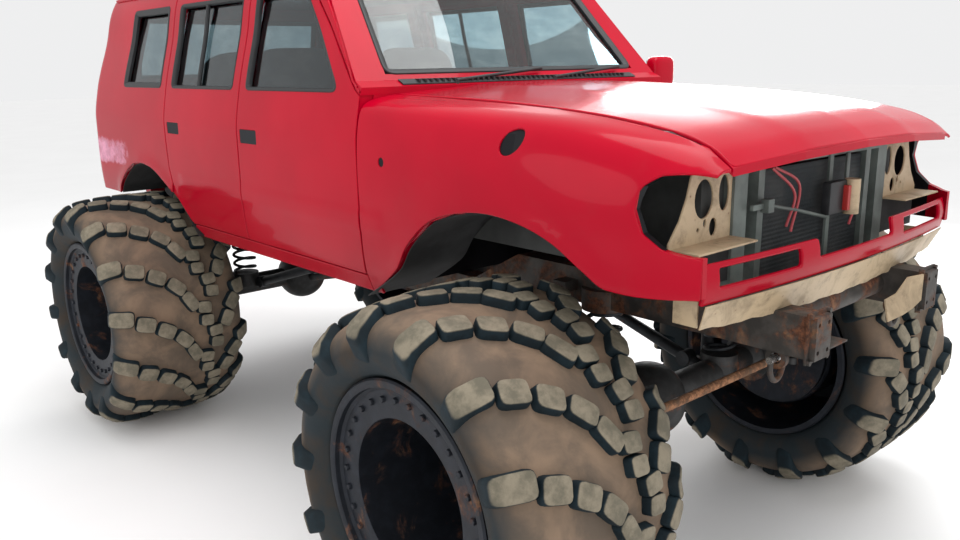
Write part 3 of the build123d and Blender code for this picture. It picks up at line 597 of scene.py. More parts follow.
def arch_line(arch, axle, first, last):
    points = [(axle + behind, AXLE_HEIGHT + above) for behind, above in arch[first:last]]
    return np.array(curve_through(points, 10))


FRONT_ARCH_LINE = arch_line(FRONT_ARCH, FRONT_AXLE, 0, 11)
REAR_ARCH_LINE = arch_line(REAR_ARCH, REAR_AXLE, 1, 10)


def side_features(y, z):
    """How far the pressed band and the arch lips stand out from the plain side."""
    band = (smooth_step(BAND_LOW - BAND_RAMP, BAND_LOW, z)
            * (1 - smooth_step(BAND_HIGH, BAND_HIGH + BAND_RAMP, z)))
    fade = (smooth_step(BAND_FRONT, BAND_FRONT + BAND_FADE, y)
            * (1 - smooth_step(BAND_REAR, BAND_REAR + BAND_FADE, y)))
    places = np.stack([y, z], axis=-1).reshape(-1, 2)
    gap = np.minimum(distance_to(places, FRONT_ARCH_LINE), distance_to(places, REAR_ARCH_LINE))
    swell = ARCH_SWELL * np.exp(-(gap / ARCH_SWELL_REACH) ** 2)
    return BAND_RISE * band * fade + swell.reshape(np.shape(y))


def cabin_side(u, z):
    """The cabin's side on the left; u runs back along Y, round the corner and across the rear."""
    half, radius = half_at(z), corner_at(z)
    rear = REAR_END - LAMP_PROUD - setback_at(z)
    start = rear - radius
    turn = np.clip((u - start) / radius, 0, math.pi / 2)
    beyond = np.maximum(u - start - radius * math.pi / 2, 0)
    x = half - radius + radius * np.cos(turn) - beyond
    y = np.minimum(u, start) + radius * np.sin(turn)
    out = side_features(u, z)
    return np.stack([x + out * np.cos(turn), y + out * np.sin(turn), z], axis=-1)


def rear_place(x, z):
    """The run of the cabin's side surface at a place on the rear face."""
    half, radius = half_at(z), corner_at(z)
    start = REAR_END - LAMP_PROUD - setback_at(z) - radius
    return start + radius * math.pi / 2 + half - radius - x


def rear_face(x, z):
    """The cabin's rear face, with its rounded corners."""
    side = cabin_side(rear_place(np.abs(x), z), z)
    return np.stack([np.sign(x) * side[..., 0], side[..., 1], side[..., 2]], axis=-1)


def wing_runs():
    """The girth at each corner of the wing, measured over the wheel."""
    runs = [0.0]
    for here, after in zip(WING_SECTIONS[1][1:], WING_SECTIONS[1][2:]):
        runs.append(runs[-1] + math.dist(here, after))
    return np.array(runs)


def wing_lines(k):
    """For each corner of the wing, its half width (k is 0) or height (k is 1) along the wing."""
    ahead = [section[0] for section in WING_SECTIONS]
    return [monotone(ahead, [section[corner][k] for section in WING_SECTIONS]) for corner in range(1, 8)]


WING_RUN = wing_runs()
wing_x, wing_z = wing_lines(0), wing_lines(1)


def wing_plain(ahead, girth):
    """A wing's plain surface; girth runs down from the hood seam."""
    ahead = np.asarray(ahead, float)
    xs = np.stack([f(ahead) for f in wing_x], axis=-1)
    zs = np.stack([f(ahead) for f in wing_z], axis=-1)
    run = WING_RUN
    girth = np.clip(girth, run[0], run[-1])
    i = np.clip(np.searchsorted(run, girth) - 1, 0, 5)
    span = run[i + 1] - run[i]
    t = (girth - run[i]) / span

    def pick(table, index):
        return np.take_along_axis(table, np.clip(index, 0, 6)[..., None], axis=-1)[..., 0]

    def line(table):
        before, after = np.clip(i - 1, 0, 6), np.clip(i + 2, 0, 6)
        m0 = (pick(table, i + 1) - pick(table, before)) / (run[i + 1] - run[before]) * span
        m1 = (pick(table, after) - pick(table, i)) / (run[after] - run[i]) * span
        return hermite(t, pick(table, i), m0, pick(table, i + 1), m1)

    return line(xs), line(zs)


def wing_surface(y, minus_girth):
    """A wing's surface, its girth negated so that the surface faces outwards."""
    x, z = wing_plain(np.clip(FIREWALL - y, 0, WING_LENGTH), -minus_girth)
    out = side_features(y, z) * smooth_step(0.16, 0.26, -minus_girth)
    return np.stack([x + out, y, z], axis=-1)


def wing_girth(y, z):
    """The girth at which a wing has that height."""
    girths = np.linspace(0.11, WING_RUN[-1], 160)
    _, heights = wing_plain(np.full(160, np.clip(FIREWALL - y, 0, WING_LENGTH)), girths)
    return float(np.interp(-z, -heights, girths))


def wing_points(points):
    """Side-view (y, z) points as places on the wing's surface, turned to read outwards."""
    return np.array([(y, -wing_girth(y, z)) for y, z in points])


hood_height = column(HOOD_FOOT, 1)
hood_rise, hood_bow = column(HOOD_ACROSS, 1), column(HOOD_ACROSS, 2)


def hood_surface(x, back):
    """The hood's surface; back runs from the nose to the firewall."""
    ahead = np.clip(FIREWALL - back, 0, WING_LENGTH)
    share = np.clip(np.abs(x) / HOOD_HALF_REAR, 0, 1)
    forward = hood_bow(share) * (ahead / WING_LENGTH) ** 2
    z = hood_height(ahead) + hood_rise(share)
    return np.stack([x, FIREWALL - ahead - forward, z], axis=-1)


# Outlines, as side-view (y, z) points unless said

def pillar_edge(height):
    return SCREEN_FOOT[0] + 0.092 + SCREEN_SLOPE * (height - SCREEN_FOOT[1])


def front_door_outline(grow):
    front, rear, head = FIREWALL + SHUT, DOOR_SPLIT - SHUT / 2, DOOR_HEAD
    return [
        (front - grow, DOOR_FOOT - grow),
        (rear + grow, DOOR_FOOT - grow),
        (rear + grow, head + grow),
        (pillar_edge(head) - grow, head + grow),
        (pillar_edge(BELT + 0.010) - grow - 0.055, BELT + 0.028),
        (front - grow, BELT + 0.010),
    ]


def rear_door_outline(grow):
    front, head = DOOR_SPLIT + SHUT / 2, DOOR_HEAD
    lip = [(REAR_AXLE + behind, AXLE_HEIGHT + above) for behind, above in REAR_ARCH[1:4]]
    share = (DOOR_FOOT - lip[0][1]) / (lip[1][1] - lip[0][1])
    foot = lip[0][0] + share * (lip[1][0] - lip[0][0])
    trim = 0.016
    return [
        (front - grow, DOOR_FOOT - grow),
        (foot - trim + grow, DOOR_FOOT - grow),
        (lip[1][0] - trim + grow, lip[1][1] + trim * 0.4),
        (lip[2][0] - 0.090 + grow, lip[2][1] + trim),
        (lip[2][0] - 0.060 + grow, lip[2][1] + 0.095),
        (REAR_DOOR_END + grow, BELT - 0.260),
        (REAR_DOOR_END + grow, head + grow),
        (front - grow, head + grow),
    ]


def window(foot_front, foot_rear, head_rear, head_front):
    """A side window's corners, from where it starts and ends at its foot and at its head."""
    return [(foot_front, WINDOW_FOOT), (foot_rear, WINDOW_FOOT), (head_rear, WINDOW_HEAD),
            (head_front, WINDOW_HEAD)]


FRONT_WINDOW = window(pillar_edge(WINDOW_FOOT) + 0.042, DOOR_SPLIT - 0.062, DOOR_SPLIT - 0.062,
                      pillar_edge(WINDOW_HEAD) + 0.042)
REAR_WINDOW = window(DOOR_SPLIT + 0.066, REAR_DOOR_END - 0.066, REAR_DOOR_END - 0.066, DOOR_SPLIT + 0.066)
QUARTER_WINDOW = window(REAR_DOOR_END + 0.070, REAR_AXLE + 0.262, REAR_AXLE + 0.215, REAR_DOOR_END + 0.070)


def rectangle(y, z, wide, tall, grow=0.0):
    """The corners of an upright rectangle round its middle."""
    return [(y - wide / 2 - grow, z - tall / 2 - grow), (y + wide / 2 + grow, z - tall / 2 - grow),
            (y + wide / 2 + grow, z + tall / 2 + grow), (y - wide / 2 - grow, z + tall / 2 + grow)]


def oval(y, z, half_wide, half_tall, count, last=2 * math.pi):
    """Points round a middle, an open end left when the last angle is short of a full turn."""
    return [(y + half_wide * math.cos(a), z + half_tall * math.sin(a)) for a in np.linspace(0, last, count)]


WINDOW_CORNER = 0.028
TAILGATE_HALF = 0.700
TAILGATE_FOOT = 1.330
TAILGATE_SPLIT = 1.788
TAILGATE_HEAD = 2.296


def tailgate_rectangle(half, foot, head):
    return [(-half, foot), (-half, head), (half, head), (half, foot)]


def tailgate_window():
    return tailgate_rectangle(TAILGATE_HALF - 0.075, TAILGATE_SPLIT + 0.080, TAILGATE_HEAD - 0.070)


def tailgate_surface(minus_x, z):
    return rear_face(-minus_x, z)


# Materials

class Nodes:
    """Short calls for building one material's tree."""

    def __init__(self, name):
        self.material = bpy.data.materials.new(name)
        self.material.use_nodes = True
        self.tree = self.material.node_tree
        self.shader = self.tree.nodes["Principled BSDF"]
        self.place = self.add("ShaderNodeTexCoord").outputs["Object"]

    def add(self, kind, inputs=None, **settings):
        """A new node with its settings, and with values or links for its inputs."""
        node = self.tree.nodes.new(kind)
        for key, value in settings.items():
            setattr(node, key, value)
        for key, value in (inputs or {}).items():
            self.put(node.inputs[key], value)
        return node

    def put(self, socket, value):
        if isinstance(value, bpy.types.NodeSocket):
            self.tree.links.new(value, socket)
        elif hasattr(value, "__len__") and len(value) == 3 and socket.type == "RGBA":
            socket.default_value = (*value, 1)
        else:
            socket.default_value = value

    def set(self, **values):
        for key, value in values.items():
            self.put(self.shader.inputs[key.replace("_", " ")], value)

    def noise(self, scale, detail=4, rough=0.55, stretch=None, warp=0.0):
        place = self.place
        if stretch is not None:
            place = self.add("ShaderNodeMapping", {"Vector": place, "Scale": stretch}).outputs["Vector"]
        inputs = {"Vector": place, "Scale": scale, "Detail": detail, "Roughness": rough, "Distortion": warp}
        return self.add("ShaderNodeTexNoise", inputs).outputs["Fac"]

    def cells(self, scale):
        return self.add("ShaderNodeTexVoronoi", {"Vector": self.place, "Scale": scale}).outputs["Distance"]

    def remap(self, value, low, high, to_low=0.0, to_high=1.0):
        inputs = {"Value": value, "From Min": low, "From Max": high, "To Min": to_low, "To Max": to_high}
        return self.add("ShaderNodeMapRange", inputs, interpolation_type="SMOOTHSTEP").outputs["Result"]

    def mix(self, share, first, second):
        return self.add("ShaderNodeMix", {0: share, 6: first, 7: second}, data_type="RGBA").outputs[2]

    def math(self, kind, first, second=0.0):
        return self.add("ShaderNodeMath", {0: first, 1: second}, operation=kind).outputs[0]

    def plus(self, first, second):
        return self.math("ADD", first, second)

    def times(self, first, second):
        return self.math("MULTIPLY", first, second)

    def bands(self, direction, scale, distortion=0.0):
        inputs = {"Vector": self.place, "Scale": scale, "Distortion": distortion}
        wave = self.add("ShaderNodeTexWave", inputs, wave_type="BANDS", bands_direction=direction)
        return wave.outputs["Fac"]

    def bump(self, height, strength, distance=0.002, below=None):
        inputs = {"Height": height, "Strength": strength, "Distance": distance}
        if below is not None:
            inputs["Normal"] = below
        return self.add("ShaderNodeBump", inputs).outputs["Normal"]

    def axis(self, letter):
        return self.add("ShaderNodeSeparateXYZ", {0: self.place}).outputs[letter]

    def attribute(self, name):
        return self.add("ShaderNodeAttribute", attribute_name=name).outputs["Fac"]


# Colours that the settings don't hold
# The near-black tone after the chip colour is painted shade, put on the insides of the solids.
PAINT_DUST, PAINT_CHIP, INSIDE_SHADE = (0.20, 0.10, 0.08), (0.12, 0.01, 0.012), (0.012, 0.012, 0.014)
PALE_RUST, PANEL_GRIME = (0.30, 0.16, 0.08), (0.14, 0.10, 0.06)
TREAD_SOIL, LUG_DARK, LUG_PALE = (0.225, 0.155, 0.105), (0.125, 0.112, 0.082), (0.235, 0.202, 0.148)
SCREEN_GLASS, SIDE_GLASS = ((0.56, 0.62, 0.62), (0.74, 0.78, 0.76)), ((0.17, 0.26, 0.30), (0.26, 0.35, 0.38))
LENS_RED, LENS_AMBER = (0.50, 0.012, 0.012), (0.75, 0.22, 0.02)
CLOTH_DARK, CLOTH_PALE, CLOTH_STAIN = (0.10, 0.10, 0.11), (0.20, 0.195, 0.19), (0.14, 0.12, 0.10)
CORE_CLEAN, CORE_DUSTY = (0.012, 0.018, 0.022), (0.045, 0.05, 0.05)

# Where the stained primer starts and is full: along the side, up from its foot, and down from its head
PRIMER_ALONG, PRIMER_FOOT, PRIMER_HEAD = (REAR_AXLE + 0.06, REAR_AXLE + 0.34), (1.345, 1.41), (1.50, 1.60)
SIDE_WINDOWS_FROM = 0.74
AMBER_FROM = (1.618, 1.622)


def shade(colour, factor):
    return tuple(min(1.0, c * factor) for c in colour)


def paint_material(colour, primer=None, name="body_paint", shade_at=None):
    """Red paint, darkened towards the sill as painted shade; shade_at gives the boxes, as (middle, reach),
    where painted shade turns it near black, the same on both sides.
    """
    n = Nodes(name)
    cloud = n.noise(1.7, 3)
    tone = n.mix(n.remap(cloud, 0.35, 0.7), shade(colour, 0.90), shade(colour, 1.06))
    # Painted shade: the paint darkens towards the sill, where the lower sides fall into shade.
    tone = n.mix(n.remap(n.axis("Z"), SILL + 0.05, SILL + 0.62, 0.30, 0.0), tone, shade(colour, 0.45))
    dust = n.remap(n.noise(9, 6, 0.7), 0.52, 0.78, 0, 0.04)
    low = n.remap(n.axis("Z"), SILL + 0.02, SILL + 0.26, 0.10, 0.0)
    veil = n.plus(dust, n.times(low, n.noise(5, 5)))
    tone = n.mix(veil, tone, PAINT_DUST)
    fleck = n.remap(n.cells(11), 0.0, 0.03, 1, 0)
    tone = n.mix(n.times(fleck, n.remap(n.noise(3, 2), 0.55, 0.6)), tone, PAINT_CHIP)
    rough = n.plus(n.times(n.noise(4, 4), 0.10), n.plus(veil, 0.20))
    if primer is not None:
        back = n.remap(n.axis("Y"), *PRIMER_ALONG)
        high = n.remap(n.axis("Z"), *PRIMER_FOOT)
        under = n.remap(n.axis("Z"), *PRIMER_HEAD, 1, 0)
        patch = n.times(n.times(back, high), under)
        edge = n.plus(patch, n.times(n.math("SUBTRACT", n.noise(5, 6, 0.72), 0.5), 1.9))
        share = n.times(n.remap(edge, 0.55, 1.15, 0, 0.8), n.remap(patch, 0.0, 0.25))
        share = n.times(share, n.math("LESS_THAN", n.axis("X"), 0.0))
        blotch = n.mix(n.remap(n.noise(22, 5, 0.7), 0.4, 0.62), primer, shade(primer, 1.4))
        tone = n.mix(share, tone, blotch)
        rough = n.plus(rough, n.times(share, 0.3))
    shine = 1.0
    # Painted shade: inside the shade_at boxes the paint turns near black and loses its coat.
    if shade_at is not None:
        dark = 0.0
        for middle, reach in shade_at:
            here = 1.0
            for axis, place, away in zip("XYZ", middle, reach):
                along = n.axis(axis)
                if axis == "X":
                    along = n.math("ABSOLUTE", along)
                far = n.math("ABSOLUTE", n.math("SUBTRACT", along, place))
                here = n.times(here, n.math("LESS_THAN", far, away))
            dark = n.math("MAXIMUM", dark, here)
        tone = n.mix(dark, tone, INSIDE_SHADE)
        shine = n.math("SUBTRACT", 1.0, dark)
    n.set(Base_Color=tone, Roughness=n.plus(rough, -0.06), Coat_Weight=n.times(shine, 0.15))
    n.set(Coat_Roughness=0.03, Specular_IOR_Level=0.07)
    n.set(Normal=n.bump(n.noise(180, 2), 0.05, 0.0006))
    return n.material


CLEAN_ROUGHNESS, RUST_ROUGHNESS = 0.55, 0.9


def metal_material(name, rust, amount, bare, metallic=0.7):
    """Worn steel: bare tone with patches of rust and a pitted surface."""
    n = Nodes(name)
    patch = n.remap(n.noise(7, 7, 0.68, warp=0.6), 0.72 - 0.45 * amount, 0.82 - 0.35 * amount)
    fine = n.noise(60, 6, 0.7)
    rusty = n.mix(n.remap(fine, 0.38, 0.66), shade(rust, 0.45), shade(rust, 1.5))
    rusty = n.mix(n.remap(n.noise(16, 5), 0.5, 0.7, 0, 0.5), rusty, PALE_RUST)
    clean = n.mix(n.remap(n.noise(20, 4), 0.4, 0.7), shade(bare, 0.8), shade(bare, 1.2))
    n.set(Base_Color=n.mix(patch, clean, rusty))
    n.set(Metallic=n.times(n.math("SUBTRACT", 1.0, patch), metallic))
    n.set(Roughness=n.plus(n.times(patch, RUST_ROUGHNESS - CLEAN_ROUGHNESS), CLEAN_ROUGHNESS))
    coarse = n.bump(n.noise(12, 5), 0.15, 0.004)
    n.set(Normal=n.bump(fine, 0.35, 0.0015, coarse))
    return n.material


def cream_material(colour, rust):
    n = Nodes("cream_panel")
    stain = n.remap(n.noise(6, 7, 0.72, warp=0.8), 0.42, 0.72)
    tone = n.mix(stain, shade(colour, 1.1), shade(colour, 0.62))
    grime = n.remap(n.noise(14, 6, 0.7), 0.52, 0.74)
    tone = n.mix(n.times(grime, 0.7), tone, PANEL_GRIME)
    spots = n.remap(n.cells(26), 0.0, 0.16, 1, 0)
    spots = n.times(spots, n.remap(n.noise(5, 3), 0.5, 0.6))
    tone = n.mix(spots, tone, shade(rust, 0.8))
    n.set(Base_Color=tone, Roughness=n.plus(n.times(stain, 0.25), 0.45))
    n.set(Normal=n.bump(n.noise(40, 5), 0.2, 0.0015))
    return n.material


def tyre_material(rubber, dust):
    n = Nodes("tyre_rubber")
    top = n.attribute("lug_top")
    wear = n.noise(14, 6, 0.68)
    soil = n.noise(5, 5, 0.6, warp=0.4)
    side = n.attribute("sidewall")
    groove = n.mix(n.remap(soil, 0.35, 0.68), shade(dust, 1.15), TREAD_SOIL)
    wall = n.mix(n.remap(soil, 0.4, 0.7), shade(rubber, 0.9), shade(dust, 0.20))
    groove = n.mix(n.times(side, 0.93), groove, wall)
    lug = n.mix(n.remap(wear, 0.36, 0.66), LUG_DARK, LUG_PALE)
    flank = n.mix(n.remap(wear, 0.4, 0.7), shade(rubber, 0.55), shade(rubber, 1.1))
    tone = n.mix(n.attribute("lug_side"), groove, flank)
    tone = n.mix(n.remap(n.plus(top, n.times(wear, 0.3)), 0.45, 1.0), tone, lug)
    n.set(Base_Color=tone, Roughness=n.plus(n.times(wear, 0.2), 0.62))
    n.set(Specular_IOR_Level=0.22)
    rough = n.bump(n.noise(90, 6, 0.7), 0.35, 0.0015)
    n.set(Normal=n.bump(n.noise(20, 4), 0.25, 0.004, rough))
    return n.material


def plain_material(name, colour, rough, grain, strength=0.2, spread_by=0.25, metallic=0.0):
    """Moulded or painted stuff with a fine grain and uneven tone."""
    n = Nodes(name)
    cloud = n.noise(grain * 0.12, 5)
    tone = n.mix(n.remap(cloud, 0.35, 0.7), shade(colour, 1 - spread_by), shade(colour, 1 + spread_by))
    n.set(Base_Color=tone)
    n.set(Roughness=n.plus(n.times(cloud, 0.16), rough - 0.08))
    n.set(Metallic=metallic)
    n.set(Normal=n.bump(n.noise(grain, 4), strength, 0.001))
    return n.material


def glass_material():
    n = Nodes("window_glass")
    smear = n.noise(3.5, 5, 0.6, stretch=(1, 1, 2.2))
    side = n.math("GREATER_THAN", n.math("ABSOLUTE", n.axis("X")), SIDE_WINDOWS_FROM)
    cloudy = n.remap(smear, 0.4, 0.7)
    n.set(Base_Color=n.mix(side, n.mix(cloudy, *SCREEN_GLASS), n.mix(cloudy, *SIDE_GLASS)))
    n.set(Roughness=n.remap(smear, 0.45, 0.8, 0.0, 0.06), IOR=1.45, Transmission_Weight=1.0)
    return n.material


def lens_material():
    n = Nodes("lamp_lens")
    n.set(Base_Color=n.mix(n.remap(n.axis("Z"), *AMBER_FROM), LENS_RED, LENS_AMBER))
    n.set(Roughness=0.12, Coat_Weight=0.8, Normal=n.bump(n.bands("Z", 40), 0.4, 0.002))
    return n.material


def cloth_material():
    n = Nodes("seat_cloth")
    weave = n.times(n.bands("X", 160, 0.6), n.bands("Z", 160, 0.6))
    tone = n.mix(weave, CLOTH_DARK, CLOTH_PALE)
    tone = n.mix(n.remap(n.noise(6, 4), 0.4, 0.7, 0, 0.5), tone, CLOTH_STAIN)
    n.set(Base_Color=tone, Roughness=0.92, Sheen_Weight=0.3, Normal=n.bump(weave, 0.5, 0.001))
    return n.material


def radiator_material():
    n = Nodes("radiator_core")
    height = n.plus(n.bands("X", 90), n.bands("Z", 22))
    tone = n.mix(n.remap(n.noise(6, 5), 0.4, 0.7), CORE_CLEAN, CORE_DUSTY)
    n.set(Base_Color=tone, Roughness=0.6, Metallic=0.3, Normal=n.bump(height, 0.7, 0.003))
    return n.material


# Where the solids' insides show, painted shade turns them near black: middle and reach of each box, in metres
SHELL_SHADE = (((0, 0.60, 1.30), (0.835, 1.46, 0.46)),)
WING_SHADE = (((0.70, -1.36, 1.54), (0.183, 0.67, 0.24)), ((0.80, -1.24, 1.62), (0.30, 0.54, 0.16)),
              ((0.55, -1.40, 1.40), (0.26, 0.62, 0.60)))

finishes = {}


class VEHICLE_OT_finishes(bpy.types.Operator):
    """Build the materials and put them on the CAD nodes"""
    bl_idname = "vehicle.finishes"
    bl_label = "Finishes"

    def execute(self, context):
        c = context.scene.vehicle_colours
        paint, rust = tuple(c.paint), tuple(c.rust)
        finishes.update(
            paint=paint_material(paint),
            quarter=paint_material(paint, tuple(c.primer), "quarter_paint"),
            # The shell and wing paints carry painted shade on their insides.
            shell=paint_material(paint, None, "shell_paint", SHELL_SHADE),
            wing=paint_material(paint, None, "wing_paint", WING_SHADE),
            rusty=metal_material("rusty_steel", shade(rust, 0.62), 0.62, (0.075, 0.068, 0.062)),
            cast=metal_material("cast_metal", rust, 0.45, (0.055, 0.055, 0.055)),
            dark_steel=metal_material("dark_steel", rust, 0.30, (0.035, 0.038, 0.042)),
            tie_rod=metal_material("tie_rod_steel", (0.30, 0.14, 0.07), 0.8, (0.18, 0.12, 0.08)),
            rim=metal_material("rim_steel", shade(rust, 0.6), 0.42, (0.014, 0.017, 0.024), 0.5),
            cream=cream_material(tuple(c.cream), rust),
            tyre=tyre_material(tuple(c.rubber), tuple(c.dust)),
            upright=plain_material("grey_green_paint", (0.105, 0.125, 0.115), 0.5, 60, 0.2, 0.35),
            inner=plain_material("inner_panel", (0.05, 0.052, 0.05), 0.7, 30, 0.3, 0.5),
            under=plain_material("underseal", (0.025, 0.025, 0.026), 0.85, 70, 0.5, 0.4),
            rubber=plain_material("rubber_seal", (0.014, 0.015, 0.017), 0.5, 120, 0.15),
            plastic=plain_material("black_plastic", (0.02, 0.021, 0.023), 0.45, 160, 0.2),
            # Near-black painted shade for the plugs in the door handle holes.
            hollow=plain_material("painted_shade_plug", (0.006, 0.008, 0.012), 0.8, 60, 0.2),
            trim=plain_material("cabin_trim", (0.085, 0.082, 0.078), 0.72, 140, 0.3),
            lining=plain_material("roof_lining", (0.26, 0.24, 0.21), 0.9, 120, 0.3),
            bright=plain_material("bright_steel", (0.5, 0.5, 0.5), 0.28, 60, 0.1, 0.1, 0.9),
            wire=plain_material("red_wire", (0.45, 0.06, 0.07), 0.45, 60, 0.1),
            can=plain_material("red_can", (0.52, 0.035, 0.03), 0.35, 30, 0.1, 0.3),
            glass=glass_material(),
            lens=lens_material(),
            cloth=cloth_material(),
            radiator=radiator_material(),
        )
        wearing = {
            "lining": ("roof",),
            "paint": ("hood", "front_door_left", "front_door_right",
                      "rear_door_left", "rear_door_right", "tailgate_upper", "tailgate_lower", "valance",
                      "mirror_left"),
            "glass": ("fixed_glass", "front_door_glass_left", "front_door_glass_right",
                      "rear_door_glass_left", "rear_door_glass_right", "tailgate_glass"),
            "rusty": ("chassis_rails", "cross_members"),
            "cast": ("axles", "knuckle_left", "knuckle_right", "gearbox_and_shafts"),
            "dark_steel": ("suspension", "engine"),
            "tie_rod": ("tie_rod",),
            "cream": ("front_panels",),
            "upright": ("radiator_support",),
            "radiator": ("radiator",),
            "under": ("floor_pan", "wheelhouses"),
            "inner": ("inner_wings",),
            "shell": ("body_shell",),
            "wing": ("wings",),
            "plastic": ("dashboard", "steering_wheel", "wipers"),
            "lens": ("tail_lamps",),
            "cloth": ("seats",),
            "tyre": tuple(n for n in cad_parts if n.startswith("tyre_")),
            "rim": tuple(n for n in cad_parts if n.startswith("rim_")),
        }
        for finish, nodes in wearing.items():
            for node in nodes:
                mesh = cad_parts[node].data
                mesh.materials.clear()
                mesh.materials.append(finishes[finish])
        return {"FINISHED"}


# Geometry node trees

def ring_tree():
    """Repeats its geometry around the X axis."""
    tree = bpy.data.node_groups.new("ring_of_copies", "GeometryNodeTree")
    for name, kind in (("Geometry", "NodeSocketGeometry"), ("Count", "NodeSocketInt"),
                       ("Material", "NodeSocketMaterial")):
        tree.interface.new_socket(name, in_out="INPUT", socket_type=kind)
    tree.interface.new_socket("Geometry", in_out="OUTPUT", socket_type="NodeSocketGeometry")
    group_in, group_out, line, place, index, share, turn, angles, realize, material = (
        tree.nodes.new(kind) for kind in (
            "NodeGroupInput", "NodeGroupOutput", "GeometryNodeMeshLine", "GeometryNodeInstanceOnPoints",
            "GeometryNodeInputIndex", "ShaderNodeMath", "ShaderNodeMath", "ShaderNodeCombineXYZ",
            "GeometryNodeRealizeInstances", "GeometryNodeSetMaterial"))
    line.inputs["Offset"].default_value = (0, 0, 0)
    share.operation, turn.operation = "DIVIDE", "MULTIPLY"
    turn.inputs[1].default_value = 2 * math.pi
    for source, output, target, entry in (
        (group_in, "Count", line, "Count"), (line, "Mesh", place, "Points"),
        (group_in, "Geometry", place, "Instance"), (index, 0, share, 0), (group_in, "Count", share, 1),
        (share, 0, turn, 0), (turn, 0, angles, "X"), (angles, 0, place, "Rotation"),
        (place, "Instances", realize, "Geometry"), (realize, "Geometry", material, "Geometry"),
        (group_in, "Material", material, "Material"), (material, "Geometry", group_out, "Geometry"),
    ):
        tree.links.new(source.outputs[output], target.inputs[entry])
    return tree


def grown(piece, tree, **values):
    """The plain mesh that a tree makes from the piece, in its place."""
    modifier = piece.modifiers.new("grown", "NODES")
    modifier.node_group = tree
    for item in tree.interface.items_tree:
        if item.in_out == "INPUT" and item.name in values:
            modifier[item.identifier] = values[item.name]
    bpy.context.view_layer.update()
    evaluated = piece.evaluated_get(bpy.context.evaluated_depsgraph_get())
    mesh = bpy.data.meshes.new_from_object(evaluated)
    piece.modifiers.remove(modifier)
    old = piece.data
    piece.data = mesh
    bpy.data.meshes.remove(old)
    return piece


def mesh_part(piece):
    """A piece's vertices and faces, and the piece removed."""
    part = [tuple(v.co) for v in piece.data.vertices], [tuple(p.vertices) for p in piece.data.polygons]
    bpy.data.meshes.remove(piece.data)
    return part


# Painted panels

def whole_piece(name, parts, finish, body):
    vertices, faces = joined(parts)
    return seat(new_piece(name, vertices, faces, finishes[finish]), body)


def sided(part, mirror):
    return mirror_part(part) if mirror else part


class VEHICLE_OT_body_sides(bpy.types.Operator):
    """Build the fixed body sides with their rear quarters, sills and screen pillars"""
    bl_idname = "vehicle.body_sides"
    bl_label = "Body sides"

    def execute(self, context):
        door = rear_door_outline(SHUT)
        rear_edge = REAR_DOOR_END + SHUT
        top = GUTTER - 0.001
        front, sill_foot, sill_top = FIREWALL + 0.001, SILL + 0.004, DOOR_FOOT - SHUT
        sill = [(front, sill_foot), (door[1][0] - 0.03, sill_foot), (door[1][0] - 0.004, sill_top - 0.012),
                (door[1][0] - 0.012, sill_top), (front, sill_top)]
        both_panels("sill_panels", panel(cabin_side, rounded(sill, 0.008), fold=0.004))
        gate, rear_foot, low_place = TAILGATE_HALF + SHUT, 1.215, SILL + 0.012 + 0.10
        quarter = [tuple(p) for p in REAR_ARCH_LINE if p[0] > door[3][0] + 0.004]
        quarter += [(REAR_AXLE + 0.432, rear_foot), (float(rear_place(gate, low_place)), rear_foot)]
        quarter += [(float(rear_place(gate, z)), z) for z in (1.30, 1.5, 1.7, BELT, 1.9, 2.1, 2.2, top)]
        quarter += [(rear_edge, top), (rear_edge, door[5][1]), door[4], door[3]]
        hole = rounded(QUARTER_WINDOW, WINDOW_CORNER)
        both_panels("rear_quarters", panel(cabin_side, rounded(quarter, 0.006, 3), [hole]), "quarter")
        head, screen_edge = DOOR_HEAD + SHUT, 0.012
        rail = [(pillar_edge(head) - SHUT, head), (rear_edge - 0.001, head), (rear_edge - 0.001, top),
                (pillar_edge(top) - 0.088, top)]
        rail += [(SCREEN_FOOT[0] + SCREEN_SLOPE * (z - SCREEN_FOOT[1]) + screen_edge, z)
                 for z in (2.2, 2.1, 2.0, 1.92, 1.875)]
        rail += [(FIREWALL + 0.02, 1.848), (FIREWALL + 0.004, 1.832), (FIREWALL, BELT + 0.016),
                 (pillar_edge(BELT + 0.010) - SHUT - 0.058, BELT + 0.034)]
        both_panels("screen_pillars", panel(cabin_side, rounded(rail, 0.005, 3), fold=0.006))
        return {"FINISHED"}


# Door handles: place along, height, width and height of the open recess
HANDLES = {"front": (0.166, 1.630, 0.150, 0.060), "rear": (0.986, 1.632, 0.138, 0.056)}


